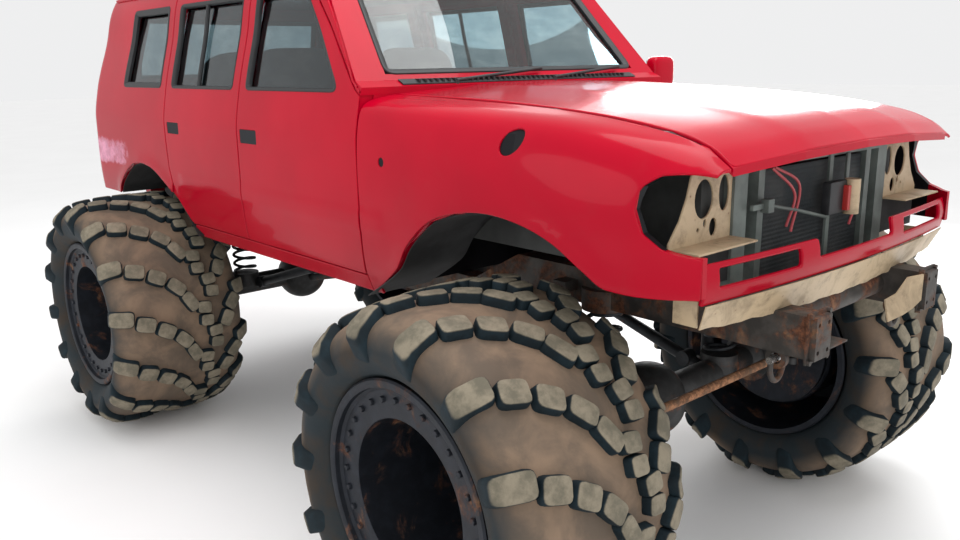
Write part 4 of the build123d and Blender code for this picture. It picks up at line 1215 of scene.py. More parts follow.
class VEHICLE_OT_doors(bpy.types.Operator):
    """Build the skins of the four doors, with the holes left by their handles, each filled by a near-black
    plug of painted shade
    """
    bl_idname = "vehicle.doors"
    bl_label = "Doors"

    def execute(self, context):
        creases = [[(-0.7, z), (1.0, z)]
                   for z in (BAND_LOW - BAND_RAMP, BAND_LOW, BAND_HIGH, BAND_HIGH + BAND_RAMP)]
        proud, deep = 0.0008, 0.004
        for end, outline, opening in (("front", front_door_outline(0), FRONT_WINDOW),
                                      ("rear", rear_door_outline(0), REAR_WINDOW)):
            hole = rounded(rectangle(*HANDLES[end]), 0.008, 3)
            holes = [rounded(opening, WINDOW_CORNER), hole]
            skin = panel(cabin_side, rounded(outline, 0.010, 4), holes, creases)
            for side, mirror in SIDES:
                panel_piece(f"{end}_door_skin_{side}", skin, f"{end}_door_{side}", mirror)
            # Painted shade: a near-black plug fills each handle hole, standing for the shade inside the door.
            rim = [(float(half_at(z)) + proud, y, z) for y, z in hole]
            count = len(rim)
            vertices = rim + [(x - deep, y, z) for x, y, z in rim]
            faces = [tuple(range(count)), tuple(reversed(range(count, 2 * count)))]
            faces += quads_between(range(count, 2 * count), range(count))
            recess = outward((vertices, faces))
            for side, mirror in SIDES:
                whole_piece(f"{end}_handle_shade_plug_{side}", [sided(recess, mirror)], "hollow",
                            f"{end}_door_{side}")
        return {"FINISHED"}


# Lamp opening in the wing: distance behind the nose and height
LAMP_APERTURE = (
    (-0.080, 1.640), (0.110, 1.640), (0.160, 1.605), (0.172, 1.545),
    (0.148, 1.482), (0.092, 1.440), (0.030, 1.425), (-0.080, 1.420),
)

# Holes in the wings: the marker lamp's, and on the right the air inlet's, which leans along its wing
MARKER_PLACE, MARKER_RADIUS = (-0.843, 1.592), 0.016
INLET_Y, INLET_Z = -1.491, 1.698
INLET_HALF_LENGTH, INLET_HALF_WIDTH = 0.052, 0.034
INLET_LEVEL, INLET_LEAN = 0.82, 0.57


class VEHICLE_OT_wings(bpy.types.Operator):
    """Build the two front wings with their lamp openings and arch lips"""
    bl_idname = "vehicle.wings"
    bl_label = "Wings"

    def execute(self, context):
        seam, foot, rear = 0.004, SILL + 0.004, FIREWALL - SHUT / 2
        arch = [tuple(p) for p in FRONT_ARCH_LINE if p[1] > SILL + 0.03 and p[0] > WING_TIP + 0.004]
        aperture = rounded([(NOSE + dy, z) for dy, z in LAMP_APERTURE], 0.045, 7)
        aperture = sorted((tuple(p) for p in aperture if p[0] > WING_TIP + 0.002), key=lambda p: p[1])
        nose = [(WING_TIP, arch[-1][1]), (WING_TIP, 1.35), (WING_TIP, 1.418), *aperture, (WING_TIP, 1.634)]
        outline = [(rear, -seam), *wing_points([(rear, z) for z in (1.70, 1.5, 1.3, foot)]),
                   (arch[0][0] - 0.003, -wing_girth(arch[0][0], foot)), *wing_points(arch + nose),
                   (WING_TIP, -seam)]
        marker = wing_points(oval(*MARKER_PLACE, MARKER_RADIUS, MARKER_RADIUS, 13)[:-1])
        inlet = []
        for a in np.linspace(0, 2 * math.pi, 21)[:-1]:
            along, over = INLET_HALF_LENGTH * math.cos(a), INLET_HALF_WIDTH * math.sin(a)
            inlet.append((INLET_Y - along * INLET_LEVEL + over * INLET_LEAN,
                          INLET_Z + (along * INLET_LEAN + over * INLET_LEVEL)))
        for side, mirror in SIDES:
            holes = [marker, wing_points(inlet)] if mirror else [marker]
            part = panel(wing_surface, rounded(outline, 0.004, 2), holes, fold=0.004)
            panel_piece(f"wing_skin_{side}", part, "chassis", mirror)
        return {"FINISHED"}


class VEHICLE_OT_hood(bpy.types.Operator):
    """Build the hood's skin with its raised middle and rolled front lip"""
    bl_idname = "vehicle.hood"
    bl_label = "Hood"

    def execute(self, context):
        rear = FIREWALL - SHUT
        outline = [(-HOOD_HALF_REAR, rear), (-HOOD_HALF_FRONT, WING_TIP), (HOOD_HALF_FRONT, WING_TIP),
                   (HOOD_HALF_REAR, rear)]
        creases = []
        for share in (0.42, 0.49, 0.56):
            x = share * HOOD_HALF_REAR
            creases += [[(x, FIREWALL - 0.02), (x, WING_TIP)], [(-x, FIREWALL - 0.02), (-x, WING_TIP)]]
        creases += [[(-0.7, FIREWALL - a), (0.7, FIREWALL - a)] for a in (1.28, 1.32, 1.36, 1.39, 1.41)]
        part = panel(hood_surface, rounded(outline, 0.02, 4), creases=creases, fold=0.006, wall=0.010)
        panel_piece("hood_skin", part, "hood")
        return {"FINISHED"}


class VEHICLE_OT_tailgates(bpy.types.Operator):
    """Build the skins of the two tailgates"""
    bl_idname = "vehicle.tailgates"
    bl_label = "Tailgates"

    def execute(self, context):
        upper = tailgate_rectangle(TAILGATE_HALF, TAILGATE_SPLIT + SHUT, TAILGATE_HEAD)
        lower = tailgate_rectangle(TAILGATE_HALF, TAILGATE_FOOT, TAILGATE_SPLIT)
        opening = rounded(tailgate_window(), 0.03)
        for name, outline, holes in (("upper", upper, [opening]), ("lower", lower, [])):
            panel_piece(f"tailgate_{name}_skin", panel(tailgate_surface, rounded(outline, 0.02), holes),
                        f"tailgate_{name}")
        return {"FINISHED"}


class VEHICLE_OT_roof(bpy.types.Operator):
    """Build the crowned roof over its rails"""
    bl_idname = "vehicle.roof"
    bl_label = "Roof"

    def execute(self, context):
        _, half, setback, corner = next(level for level in CABIN_LEVELS if level[0] == GUTTER)
        front = SCREEN_HEAD[0] + SCREEN_SLOPE * (GUTTER - SCREEN_HEAD[1])
        rear = REAR_END - LAMP_PROUD - setback
        middle, length = (front + rear) / 2, (rear - front) / 2
        edge_share, edge_reach, crown_share = 0.62, 0.10, 0.38
        base = GUTTER + 0.001
        rise = ROOF - 0.0005 - base
        steps = 24
        rings = []
        for depth in (0, 0.003, 0.008, 0.016, 0.028, 0.045, 0.07, 0.10, 0.14, 0.19, 0.26, 0.34, 0.44, 0.55,
                      0.66, 0.74):
            across_half, along_half = half - depth, length - depth * 1.2
            radius = min(corner + depth * 0.9, across_half * 0.98)
            edge = edge_share * (1 - (1 - min(depth / edge_reach, 1)) ** 2.4) ** 0.62
            crown = crown_share * (1 - (1 - depth / half) ** 2)
            ring = []
            for sx, sy in ((1, -1), (1, 1), (-1, 1), (-1, -1)):
                start = math.atan2(sy, sx) - math.pi / 4
                for k in range(steps):
                    a = start + (math.pi / 2) * k / (steps - 1)
                    ring.append((sx * (across_half - radius) + radius * math.cos(a),
                                 middle + sy * (along_half - radius) + radius * math.sin(a),
                                 base + rise * (edge + crown)))
            rings.append(ring)
        rings.insert(0, [(x, y, base - 0.012) for x, y, z in rings[0]])
        size = 4 * steps
        last = (len(rings) - 1) * size
        vertices = [p for ring in rings for p in ring] + [(0, middle, base + rise)]
        faces = ring_faces(len(rings), size)
        faces += [(last + k, last + (k + 1) % size, last + size) for k in range(size)]
        faces.append(tuple(reversed(range(size))))
        piece = new_piece("roof_skin", *outward((vertices, faces)), finishes["paint"])
        piece.data.set_sharp_from_angle(angle=math.radians(60))
        seat(piece, "chassis")
        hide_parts("roof")
        gutters = []
        for sx in (1, -1):
            places = np.linspace(front + 0.06, rear - 0.11, 30)
            line = [(sx * (half + 0.004), y, GUTTER + 0.004) for y in places]
            gutters.append(tube_part(line, 0.008, 8))
        whole_piece("roof_gutters", gutters, "paint", "chassis")
        return {"FINISHED"}


class VEHICLE_OT_valance(bpy.types.Operator):
    """Build the slotted red strip across the nose"""
    bl_idname = "vehicle.valance"
    bl_label = "Valance"

    def execute(self, context):
        low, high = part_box("valance")
        half, foot, top, bow = high[0], low[2], high[2], 0.045
        step, notch = 1.342, 0.250

        def surface(x, z):
            belly = 0.010 * np.sin(np.clip((z - foot) / (top - foot), 0, 1) * math.pi)
            bowed = low[1] + bow - bow * (1 - (x / half) ** 2)
            return np.stack([x, bowed + 0.012 - belly, z], axis=-1)

        outline = [(-half, foot), (half, foot), (half, top), (notch, top), (notch, step), (-notch, step),
                   (-notch, top), (-half, top)]
        corners = [0.002, 0.002, 0.002, 0.014, 0.014, 0.014, 0.014, 0.002]
        slot = [(0.352, 1.330), (0.735, 1.330), (0.735, 1.384), (0.352, 1.384)]
        holes = [rounded(slot, 0.010, 3), rounded([(-x, z) for x, z in slot], 0.010, 3)]
        part = panel(surface, rounded(outline, corners, 4), holes, cell=0.018, fold=0.006, wall=0.012,
                     lift=0.0)
        piece = panel_piece("valance_skin", part, "chassis")
        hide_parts("valance")
        return {"FINISHED"}


# Glass edges

def gasket_part(surface, opening, corner, gap, width, depth=0.020):
    """The rubber along a window's outline on a surface."""
    loop = spread(rounded(opening, corner), gap)
    if not turned_left(loop):
        loop = loop[::-1]
    base, normal = base_and_normal(surface, loop, 0.001)
    out = np.cross(unit(np.roll(base, -1, axis=0) - np.roll(base, 1, axis=0)), normal)
    profile = ((-width, -depth), (-width, -0.006), (-width * 0.7, 0.001), (-width * 0.2, 0.005),
               (0.0, 0.0045), (0.003, 0.001), (0.003, -depth))
    count = len(loop)
    vertices = [tuple(p) for reach, height in profile for p in base + out * reach + normal * height]
    faces = ring_faces(len(profile), count)
    last = (len(profile) - 1) * count
    faces += quads_between(range(last, last + count), range(count))
    return outward((vertices, faces))


class VEHICLE_OT_gaskets(bpy.types.Operator):
    """Build the rubber round every window"""
    bl_idname = "vehicle.gaskets"
    bl_label = "Window gaskets"

    def execute(self, context):
        width = context.scene.vehicle_body.gasket
        for name, opening, body, share in (
            ("front_window_gasket", FRONT_WINDOW, "front_door_{}", 0.7),
            ("rear_window_gasket", REAR_WINDOW, "rear_door_{}", 0.7),
            ("quarter_gasket", QUARTER_WINDOW, "chassis", 1.3),
        ):
            part = gasket_part(cabin_side, opening, WINDOW_CORNER, 0.03, width * share)
            for side, mirror in SIDES:
                whole_piece(f"{name}_{side}", [sided(part, mirror)], "rubber", body.format(side))
        bar_y, bar_lean, bar_depth, bar_radius, over = 0.723, 0.02, 0.012, 0.011, 0.004
        bar = [(float(half_at(z)) - bar_depth, bar_y + (z - WINDOW_FOOT) * bar_lean, z)
               for z in np.linspace(WINDOW_FOOT - over, WINDOW_HEAD + over, 10)]
        for side, mirror in SIDES:
            whole_piece(f"window_bar_{side}", [sided(tube_part(bar, bar_radius, 8), mirror)], "rubber",
                        f"rear_door_{side}")
        part = gasket_part(tailgate_surface, tailgate_window(), 0.03, 0.03, width)
        whole_piece("tailgate_gasket", [part], "rubber", "tailgate_upper")
        foot_half, head_half, edge = 0.742, 0.668, 0.030
        rise, reach = SCREEN_HEAD[1] - SCREEN_FOOT[1], SCREEN_HEAD[0] - SCREEN_FOOT[0]
        length = math.hypot(rise, reach)

        def screen(x, up):
            y, z = SCREEN_FOOT[0] + reach / length * up, SCREEN_FOOT[1] + rise / length * up
            return np.stack([x, y, z], axis=-1)

        opening = [(-foot_half, edge), (foot_half, edge), (head_half, length - edge),
                   (-head_half, length - edge)]
        part = gasket_part(screen, opening, 0.045, 0.04, width * 1.3, 0.024)
        whole_piece("screen_gasket", [part], "rubber", "chassis")
        return {"FINISHED"}


# Wheels

# Half of the tyre's carcass from the crown to the bead: place across and radius
CARCASS = (
    (0.0, 0.594), (0.10, 0.5935), (0.20, 0.590), (0.262, 0.580), (0.300, 0.562), (0.326, 0.535),
    (0.338, 0.500), (0.336, 0.465), (0.322, 0.432), (0.302, 0.408), (0.285, 0.397), (0.270, 0.388),
)
CARCASS_LINE = np.array(curve_through(CARCASS, 5))
CARCASS_RUN = np.concatenate([[0], np.cumsum(np.linalg.norm(np.diff(CARCASS_LINE, axis=0), axis=1))])
CARCASS_AHEAD = np.gradient(CARCASS_LINE, axis=0)
CARCASS_OUT = unit(np.stack([-CARCASS_AHEAD[:, 1], CARCASS_AHEAD[:, 0]], axis=1))
WIDENING_POINTS = 44
LUG_SIDES = 16
BUTTRESS_FROM, BUTTRESS = 0.29, 0.075
TREAD_TURN = {"front": 3.7, "rear": 12.0}


def on_carcass(run):
    """Place and outward direction on the carcass at a signed run from the crown."""
    reach = np.clip(np.abs(run), 0, CARCASS_RUN[-1])
    x, r, nx, nr = (np.interp(reach, CARCASS_RUN, line)
                    for line in (*CARCASS_LINE.T, *CARCASS_OUT.T))
    sign = -1 if run < 0 else 1
    return x * sign, r, nx * sign, nr


def lug_part(outward_place, degrees, length, width, turn, height):
    """One tread block on the carcass, with eased top edges; returns vertices, faces and top shares."""
    wide = slice(WIDENING_POINTS)
    run0 = float(np.interp(abs(outward_place), CARCASS_LINE[wide, 0], CARCASS_RUN[wide]))
    run0 = math.copysign(run0, outward_place)
    buttress = BUTTRESS if abs(outward_place) > BUTTRESS_FROM else 0.0
    c, s = math.cos(math.radians(turn)), math.sin(math.radians(turn))
    outline = []
    for k in range(LUG_SIDES):
        a = 2 * math.pi * (k + 0.5) / LUG_SIDES
        ca, sa = math.cos(a), math.sin(a)
        outline.append((math.copysign(abs(ca) ** 0.42, ca) * length / 2,
                        math.copysign(abs(sa) ** 0.42, sa) * width / 2))
    levels = ((-0.010, 1.10, 0), (height * 0.10, 1.07, 0.0), (height * 0.80, 1.0, 0.15),
              (height * 0.96, 0.93, 0.75), (height, 0.80, 1.0))
    vertices, tops = [], []
    for lift, grow, top in levels:
        for a, b in outline:
            a2, b2 = a * grow, b * grow
            over = a2 * c - b2 * s
            run = run0 + over
            if buttress and outward_place * over > 0:
                reach = math.copysign(buttress * (1 - lift / height) * 0.9, outward_place)
                run += reach * abs(over) / length * 2
            x, r, nx, nr = on_carcass(run)
            angle = math.radians(degrees) + (a2 * s + b2 * c) / float(r)
            x, r = float(x + nx * lift), float(r + nr * lift)
            vertices.append((x, -r * math.cos(angle), r * math.sin(angle)))
            tops.append(top)
    last = (len(levels) - 1) * LUG_SIDES
    centre = last + LUG_SIDES
    middle = np.mean(vertices[last:], axis=0)
    size = np.hypot(middle[1], middle[2])
    middle[1:] *= (size + 0.0015) / size
    vertices.append(tuple(middle))
    tops.append(1.0)
    faces = ring_faces(len(levels), LUG_SIDES)
    faces += [(last + k, last + (k + 1) % LUG_SIDES, centre) for k in range(LUG_SIDES)]
    faces.append(tuple(reversed(range(LUG_SIDES))))
    return vertices, faces, tops


def set_values(mesh, name, values):
    attribute = mesh.attributes.get(name) or mesh.attributes.new(name, "FLOAT", "POINT")
    attribute.data.foreach_set("value", np.asarray(values, np.float32))


class VEHICLE_OT_tyres(bpy.types.Operator):
    """Build the four lugged tyres"""
    bl_idname = "vehicle.tyres"
    bl_label = "Tyres"

    def execute(self, context):
        sizes = context.scene.vehicle_wheels
        lugs = [lug_part(*block, sizes.lug_height) for block in TREAD_BLOCKS]
        pitch = new_piece("tread", *outward(joined([lug[:2] for lug in lugs])), finishes["tyre"])
        set_values(pitch.data, "lug_top", [top for lug in lugs for top in lug[2]])
        grown(pitch, ring_tree(), Count=sizes.pitches, Material=finishes["tyre"])
        count = len(pitch.data.vertices)
        lug_tops = np.zeros(count, np.float32)
        pitch.data.attributes["lug_top"].data.foreach_get("value", lug_tops)
        line = [tuple(p) for p in CARCASS_LINE]
        inner = [(0.262, 0.384), (0.20, 0.384)]
        profile = [(-x, r) for x, r in reversed(line)] + line[1:] + inner
        profile += [(-x, r) for x, r in reversed(inner)]
        vertices, faces = joined([mesh_part(pitch), turned_part(profile, 112)])
        vertices = np.array(vertices)
        tops, flanks = np.zeros(len(vertices)), np.zeros(len(vertices))
        tops[:count], flanks[:count] = lug_tops, 1
        wall = 1 - np.clip((np.hypot(vertices[:, 1], vertices[:, 2]) - 0.49) / 0.09, 0, 1)
        for end, side, axle, sign in WHEELS:
            c, s = math.cos(math.radians(TREAD_TURN[end])), math.sin(math.radians(TREAD_TURN[end]))
            x, y, z = vertices.T
            moved = [sign * x + sign * HALF_TRACK, y * c + z * s + axle, z * c - y * s + AXLE_HEIGHT]
            moved = np.stack(moved, axis=1)
            piece = new_piece(f"tyre_tread_{end}_{side}", moved,
                              faces if sign > 0 else [tuple(reversed(f)) for f in faces], finishes["tyre"])
            for name, values in (("lug_top", tops), ("lug_side", flanks), ("sidewall", wall)):
                set_values(piece.data, name, values)
            seat(piece, f"wheel_{end}_{side}")
            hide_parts(f"tyre_{end}_{side}")
        return {"FINISHED"}


def bolt_part(x, y, z, radius, height):
    """A six-sided bolt head standing out along X."""
    vertices = []
    for depth, grow in ((-0.004, 1.0), (height * 0.8, 1.0), (height, 0.8)):
        for k in range(6):
            a = math.pi / 3 * k
            vertices.append((x + depth, y + radius * grow * math.cos(a), z + radius * grow * math.sin(a)))
    faces = ring_faces(3, 6) + [tuple(range(12, 18)), tuple(reversed(range(6)))]
    return outward((vertices, faces))


class VEHICLE_OT_rims(bpy.types.Operator):
    """Build the steel rims with their bolted rings"""
    bl_idname = "vehicle.rims"
    bl_label = "Rims"

    def execute(self, context):
        count = context.scene.vehicle_wheels.bolts
        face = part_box("rim_front_left")[1][0] - HALF_TRACK
        disc = -TYRE_WIDTH / 2 + 0.130
        rings = []
        for name, bolt, copies in (
            ("ring_bolt", bolt_part(face - 0.030 - 0.002, -0.323, 0.0, 0.011, 0.014), count),
            ("wheel_stud", bolt_part(disc + 0.022, -0.128, 0.0, 0.017, 0.030), 6),
        ):
            piece = new_piece(name, *bolt, finishes["rim"])
            rings.append(mesh_part(grown(piece, ring_tree(), Count=copies, Material=finishes["rim"])))
        outer = [(0.046, 0.262), (0.030, 0.262), (0.028, 0.266), (0.028, 0.352), (0.020, 0.362),
                 (0.004, 0.364), (0, 0.370), (0, 0.388), (0.006, 0.394), (0.016, 0.392), (0.018, 0.382),
                 (0.030, 0.3795)]
        back = [(0.03, 0.3795), (0.018, 0.382), (0.016, 0.392), (0.006, 0.394), (0, 0.388), (0, 0.366)]
        centre = [(0.03, 0.276), (0.022, 0.268), (0.022, 0.200), (0.034, 0.170), (0.034, 0.100),
                  (0.108, 0.092), (0.110, 0.088), (0.110, 0.0455), (-0.006, 0.0455), (-0.006, 0.094),
                  (0, 0.098), (0, 0.262)]
        profile = [(face - depth, r) for depth, r in outer] + [(-face + depth, r) for depth, r in back]
        profile += [(face - 0.060, 0.366), (face - 0.060, 0.276)] + [(disc + depth, r) for depth, r in centre]
        whole = joined([turned_part(profile, 96), *rings])
        for end, side, axle, sign in WHEELS:
            vertices, faces = sided(whole, sign < 0)
            vertices = [(x + sign * HALF_TRACK, y + axle, z + AXLE_HEIGHT) for x, y, z in vertices]
            piece = whole_piece(f"rim_face_{end}_{side}", [(vertices, faces)], "rim", f"wheel_{end}_{side}")
            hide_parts(f"rim_{end}_{side}")
        return {"FINISHED"}


# Smaller forms

def slab_part(top, bottom):
    """A closed sheet between two grids of points."""
    rows, columns = len(top), len(top[0])
    vertices = [tuple(p) for row in top for p in row] + [tuple(p) for row in bottom for p in row]

    def at(i, j, k):
        return k * rows * columns + i * columns + j

    faces = []
    for i in range(rows - 1):
        for j in range(columns - 1):
            faces.append((at(i, j, 0), at(i + 1, j, 0), at(i + 1, j + 1, 0), at(i, j + 1, 0)))
            faces.append((at(i, j + 1, 1), at(i + 1, j + 1, 1), at(i + 1, j, 1), at(i, j, 1)))
        for j in (0, columns - 1):
            faces.append((at(i, j, 0), at(i, j, 1), at(i + 1, j, 1), at(i + 1, j, 0)))
    for j in range(columns - 1):
        for i in (0, rows - 1):
            faces.append((at(i, j, 0), at(i, j + 1, 0), at(i, j + 1, 1), at(i, j, 1)))
    return outward((vertices, faces))


SEAM_PLACE, SEAM_WIDTH = 0.62, 0.06
COIL_STEPS, CLOSED_END = 18, 0.04


def cushion_part(low, high, square, cuts, groove=0.0, lean=0.0):
    """A stuffed block between two corners; the groove presses two seams into its face, lean tips it back."""
    mesh = bmesh.new()
    bmesh.ops.create_cube(mesh, size=2)
    bmesh.ops.subdivide_edges(mesh, edges=mesh.edges[:], cuts=cuts, use_grid_fill=True)
    middle = (np.array(low) + np.array(high)) / 2
    half = (np.array(high) - np.array(low)) / 2
    pressed = 2 if lean == 0 else 1
    for vertex in mesh.verts:
        p = np.array(vertex.co)
        p = p / np.sum(np.abs(p) ** square) ** (1 / square)
        place = middle + p * half
        if groove:
            seam = (math.exp(-((abs(p[0]) - SEAM_PLACE) / SEAM_WIDTH) ** 2)
                    + math.exp(-(p[1] / SEAM_WIDTH) ** 2) * 0.6)
            place[pressed] -= math.copysign(groove * seam, p[pressed])
        place[1] += lean * (place[2] - low[2])
        vertex.co = place
    return outward(part_of(mesh))


def coil_part(centre, foot, head, radius, wire, turns):
    """A coil spring standing on Z, its end turns closed."""
    line = []
    count = turns * COIL_STEPS
    for k in range(count + 1):
        a = 2 * math.pi * k / COIL_STEPS
        share = min(max((k / count - CLOSED_END) / (1 - 2 * CLOSED_END), 0), 1)
        line.append((centre[0] + radius * math.cos(a), centre[1] + radius * math.sin(a),
                     foot + wire + (head - foot - 2 * wire) * share))
    return tube_part(line, wire, 8)


class VEHICLE_OT_liners(bpy.types.Operator):
    """Line the wheel arches with dark sheet"""
    bl_idname = "vehicle.liners"
    bl_label = "Arch liners"

    def execute(self, context):
        ahead = [s[0] for s in WING_SECTIONS]
        halves = [s[5][0] for s in WING_SECTIONS]
        nose_end = FRONT_AXLE - 0.50
        for end, line, axle, inner in (("front", FRONT_ARCH_LINE, FRONT_AXLE, 0.617),
                                       ("rear", REAR_ARCH_LINE, REAR_AXLE, 0.643)):
            away = line - np.array([axle, AXLE_HEIGHT + 0.25])
            away = away / np.linalg.norm(away, axis=1)[:, None]
            grids = []
            for depth in (0.004, 0.008):
                grid = []
                for (y, z), (ay, az) in zip(line, away):
                    if y < nose_end:
                        continue
                    wide = HALF_WIDTH - 0.012
                    if end == "front":
                        wide = float(np.interp(FIREWALL - y, ahead, halves)) - 0.016
                    grid.append([(x, y - ay * depth, z - az * depth) for x in np.linspace(inner, wide, 4)])
                grids.append(grid)
            liner = both_sides(slab_part(*grids))
            whole_piece(f"arch_liner_{end}", [liner], "under", "chassis")
        return {"FINISHED"}


class VEHICLE_OT_suspension(bpy.types.Operator):
    """Build the coil springs, dampers and arms"""
    bl_idname = "vehicle.suspension"
    bl_label = "Suspension"

    def execute(self, context):
        parts = []
        spring_x, damper_x, arm_x = 0.385, 0.472, 0.335
        arm_start, arm_run, arm_rise = 0.056, 0.759, 0.234
        arm_foot = AXLE_HEIGHT + 0.008
        for axle, rail, toward, turns in ((FRONT_AXLE, 1.140, 1, 6), (REAR_AXLE, 1.000, -1, 4)):
            foot, head = AXLE_HEIGHT + 0.0785, rail - 0.0795
            parts.append(coil_part((spring_x, axle), foot, head, 0.062, 0.0088, turns))
            y, low, top = axle + 0.118, AXLE_HEIGHT + 0.0105, rail - 0.0205
            body = [(damper_x, y, low + up) for up in (0, 0.230, 0.240)]
            parts.append(tube_part(body, [0.028, 0.028, 0.022], 16))
            parts.append(tube_part([(damper_x, y, low + 0.235), (damper_x, y, top)], 0.012, 10))
            arm = [(arm_x, axle + toward * arm_start, arm_foot), (arm_x, axle + toward * 0.815, 0.872)]
            parts.append(tube_part(arm, 0.026, 16))
            for share in (0.10, 0.93):
                y, z = axle + toward * (arm_start + arm_run * share), arm_foot + arm_rise * share
                parts.append(tube_part([(arm_x - 0.030, y, z), (arm_x + 0.030, y, z)], 0.034, 14))
        parts = [both_sides(joined(parts))]
        piece = whole_piece("springs_and_arms", parts, "dark_steel", "chassis")
        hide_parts("suspension")
        return {"FINISHED"}


class VEHICLE_OT_cabin(bpy.types.Operator):
    """Build the seats, door trims, cowl grille and mirror"""
    bl_idname = "vehicle.cabin"
    bl_label = "Cabin"

    def execute(self, context):
        self.seats()
        self.door_trims()
        self.cowl()
        self.mirror()
        return {"FINISHED"}

    def seats(self):
        floor_z, top_z, head_z, depth = 1.1405, 1.450, 2.020, 0.50
        pads, bases = [], []
        for y, x, wide in ((FIREWALL + 0.700, -0.370, 0.250), (FIREWALL + 0.700, 0.370, 0.250),
                           (DOOR_SPLIT + 0.430, 0.0, 0.600)):
            left, right = x - wide, x + wide
            bases.append(box_part((left + 0.03, y + 0.03, floor_z), (right - 0.03, y + 0.47, 1.30), 0.01))
            pads.append(cushion_part((left, y, 1.285), (right, y + depth, top_z), 6, 12, 0.012))
            back = (left, y + 0.445, top_z - 0.01), (right, y + 0.555, head_z)
            pads.append(cushion_part(*back, 5, 12, 0.010, 0.245))
        piece = whole_piece("seat_pads", pads, "cloth", "chassis")
        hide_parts("seats")
        whole_piece("seat_bases", bases, "plastic", "chassis")

    def door_trims(self):
        heights = np.linspace(DOOR_FOOT + 0.055, WINDOW_FOOT - 0.035, 9)
        half, rest_foot, rest_top = float(half_at(1.56)), 1.540, 1.590
        for end, y_from, y_to in (("front", FIREWALL + 0.075, DOOR_SPLIT - 0.060),
                                  ("rear", DOOR_SPLIT + 0.060, REAR_DOOR_END - 0.330)):
            middle = (y_from + y_to) / 2
            grids = [[[(float(half_at(z)) - depth, y, z) for y in (y_from, middle, y_to)] for z in heights]
                     for depth in (0.0610, 0.0690)]
            rest = box_part((half - 0.115, middle - 0.17, rest_foot),
                            (half - 0.064, middle + 0.17, rest_top), 0.012)
            part = joined([slab_part(*grids), rest])
            for side, mirror in SIDES:
                whole_piece(f"{end}_door_trim_{side}", [sided(part, mirror)], "trim", f"{end}_door_{side}")

    def cowl(self):
        places = np.linspace(FIREWALL + 0.006, SCREEN_FOOT[0] - 0.004, 5)
        grids = [[[(x, y, 1.850 + (y - FIREWALL) * 0.5 + lift) for x in np.linspace(-0.70, 0.70, 15)]
                  for y in places] for lift in (0.006, 0.002)]
        slats = [box_part((x, FIREWALL + 0.010, 1.859), (x + 0.010, FIREWALL + 0.038, 1.8755), 0.001)
                 for x in np.linspace(-0.62, 0.61, 42)]
        whole_piece("cowl_grille", [slab_part(*grids), *slats], "plastic", "chassis")

    def mirror(self):
        low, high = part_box("mirror_left")
        stalk_y = low[1] + 0.045
        housing = [cushion_part((0.940, low[1], high[2] - 0.160), high, 4.5, 8),
                   tube_part([(0.900, stalk_y, 1.793), (0.960, stalk_y, 1.800)], 0.013, 12)]
        piece = whole_piece("mirror_housing", housing, "paint", "front_door_left")
        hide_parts("mirror_left")
        glass = box_part((0.958, high[1] - 0.010, high[2] - 0.140),
                         (1.092, high[1] + 0.001, high[2] - 0.020), 0.003)
        whole_piece("mirror_glass", [glass], "bright", "front_door_left")


# Lamp panel: its inner and outer edge, and the face that the lamps sat against
LAMP_INNER, LAMP_OUTER, LAMP_FACE = 0.500, 0.792, -1.996


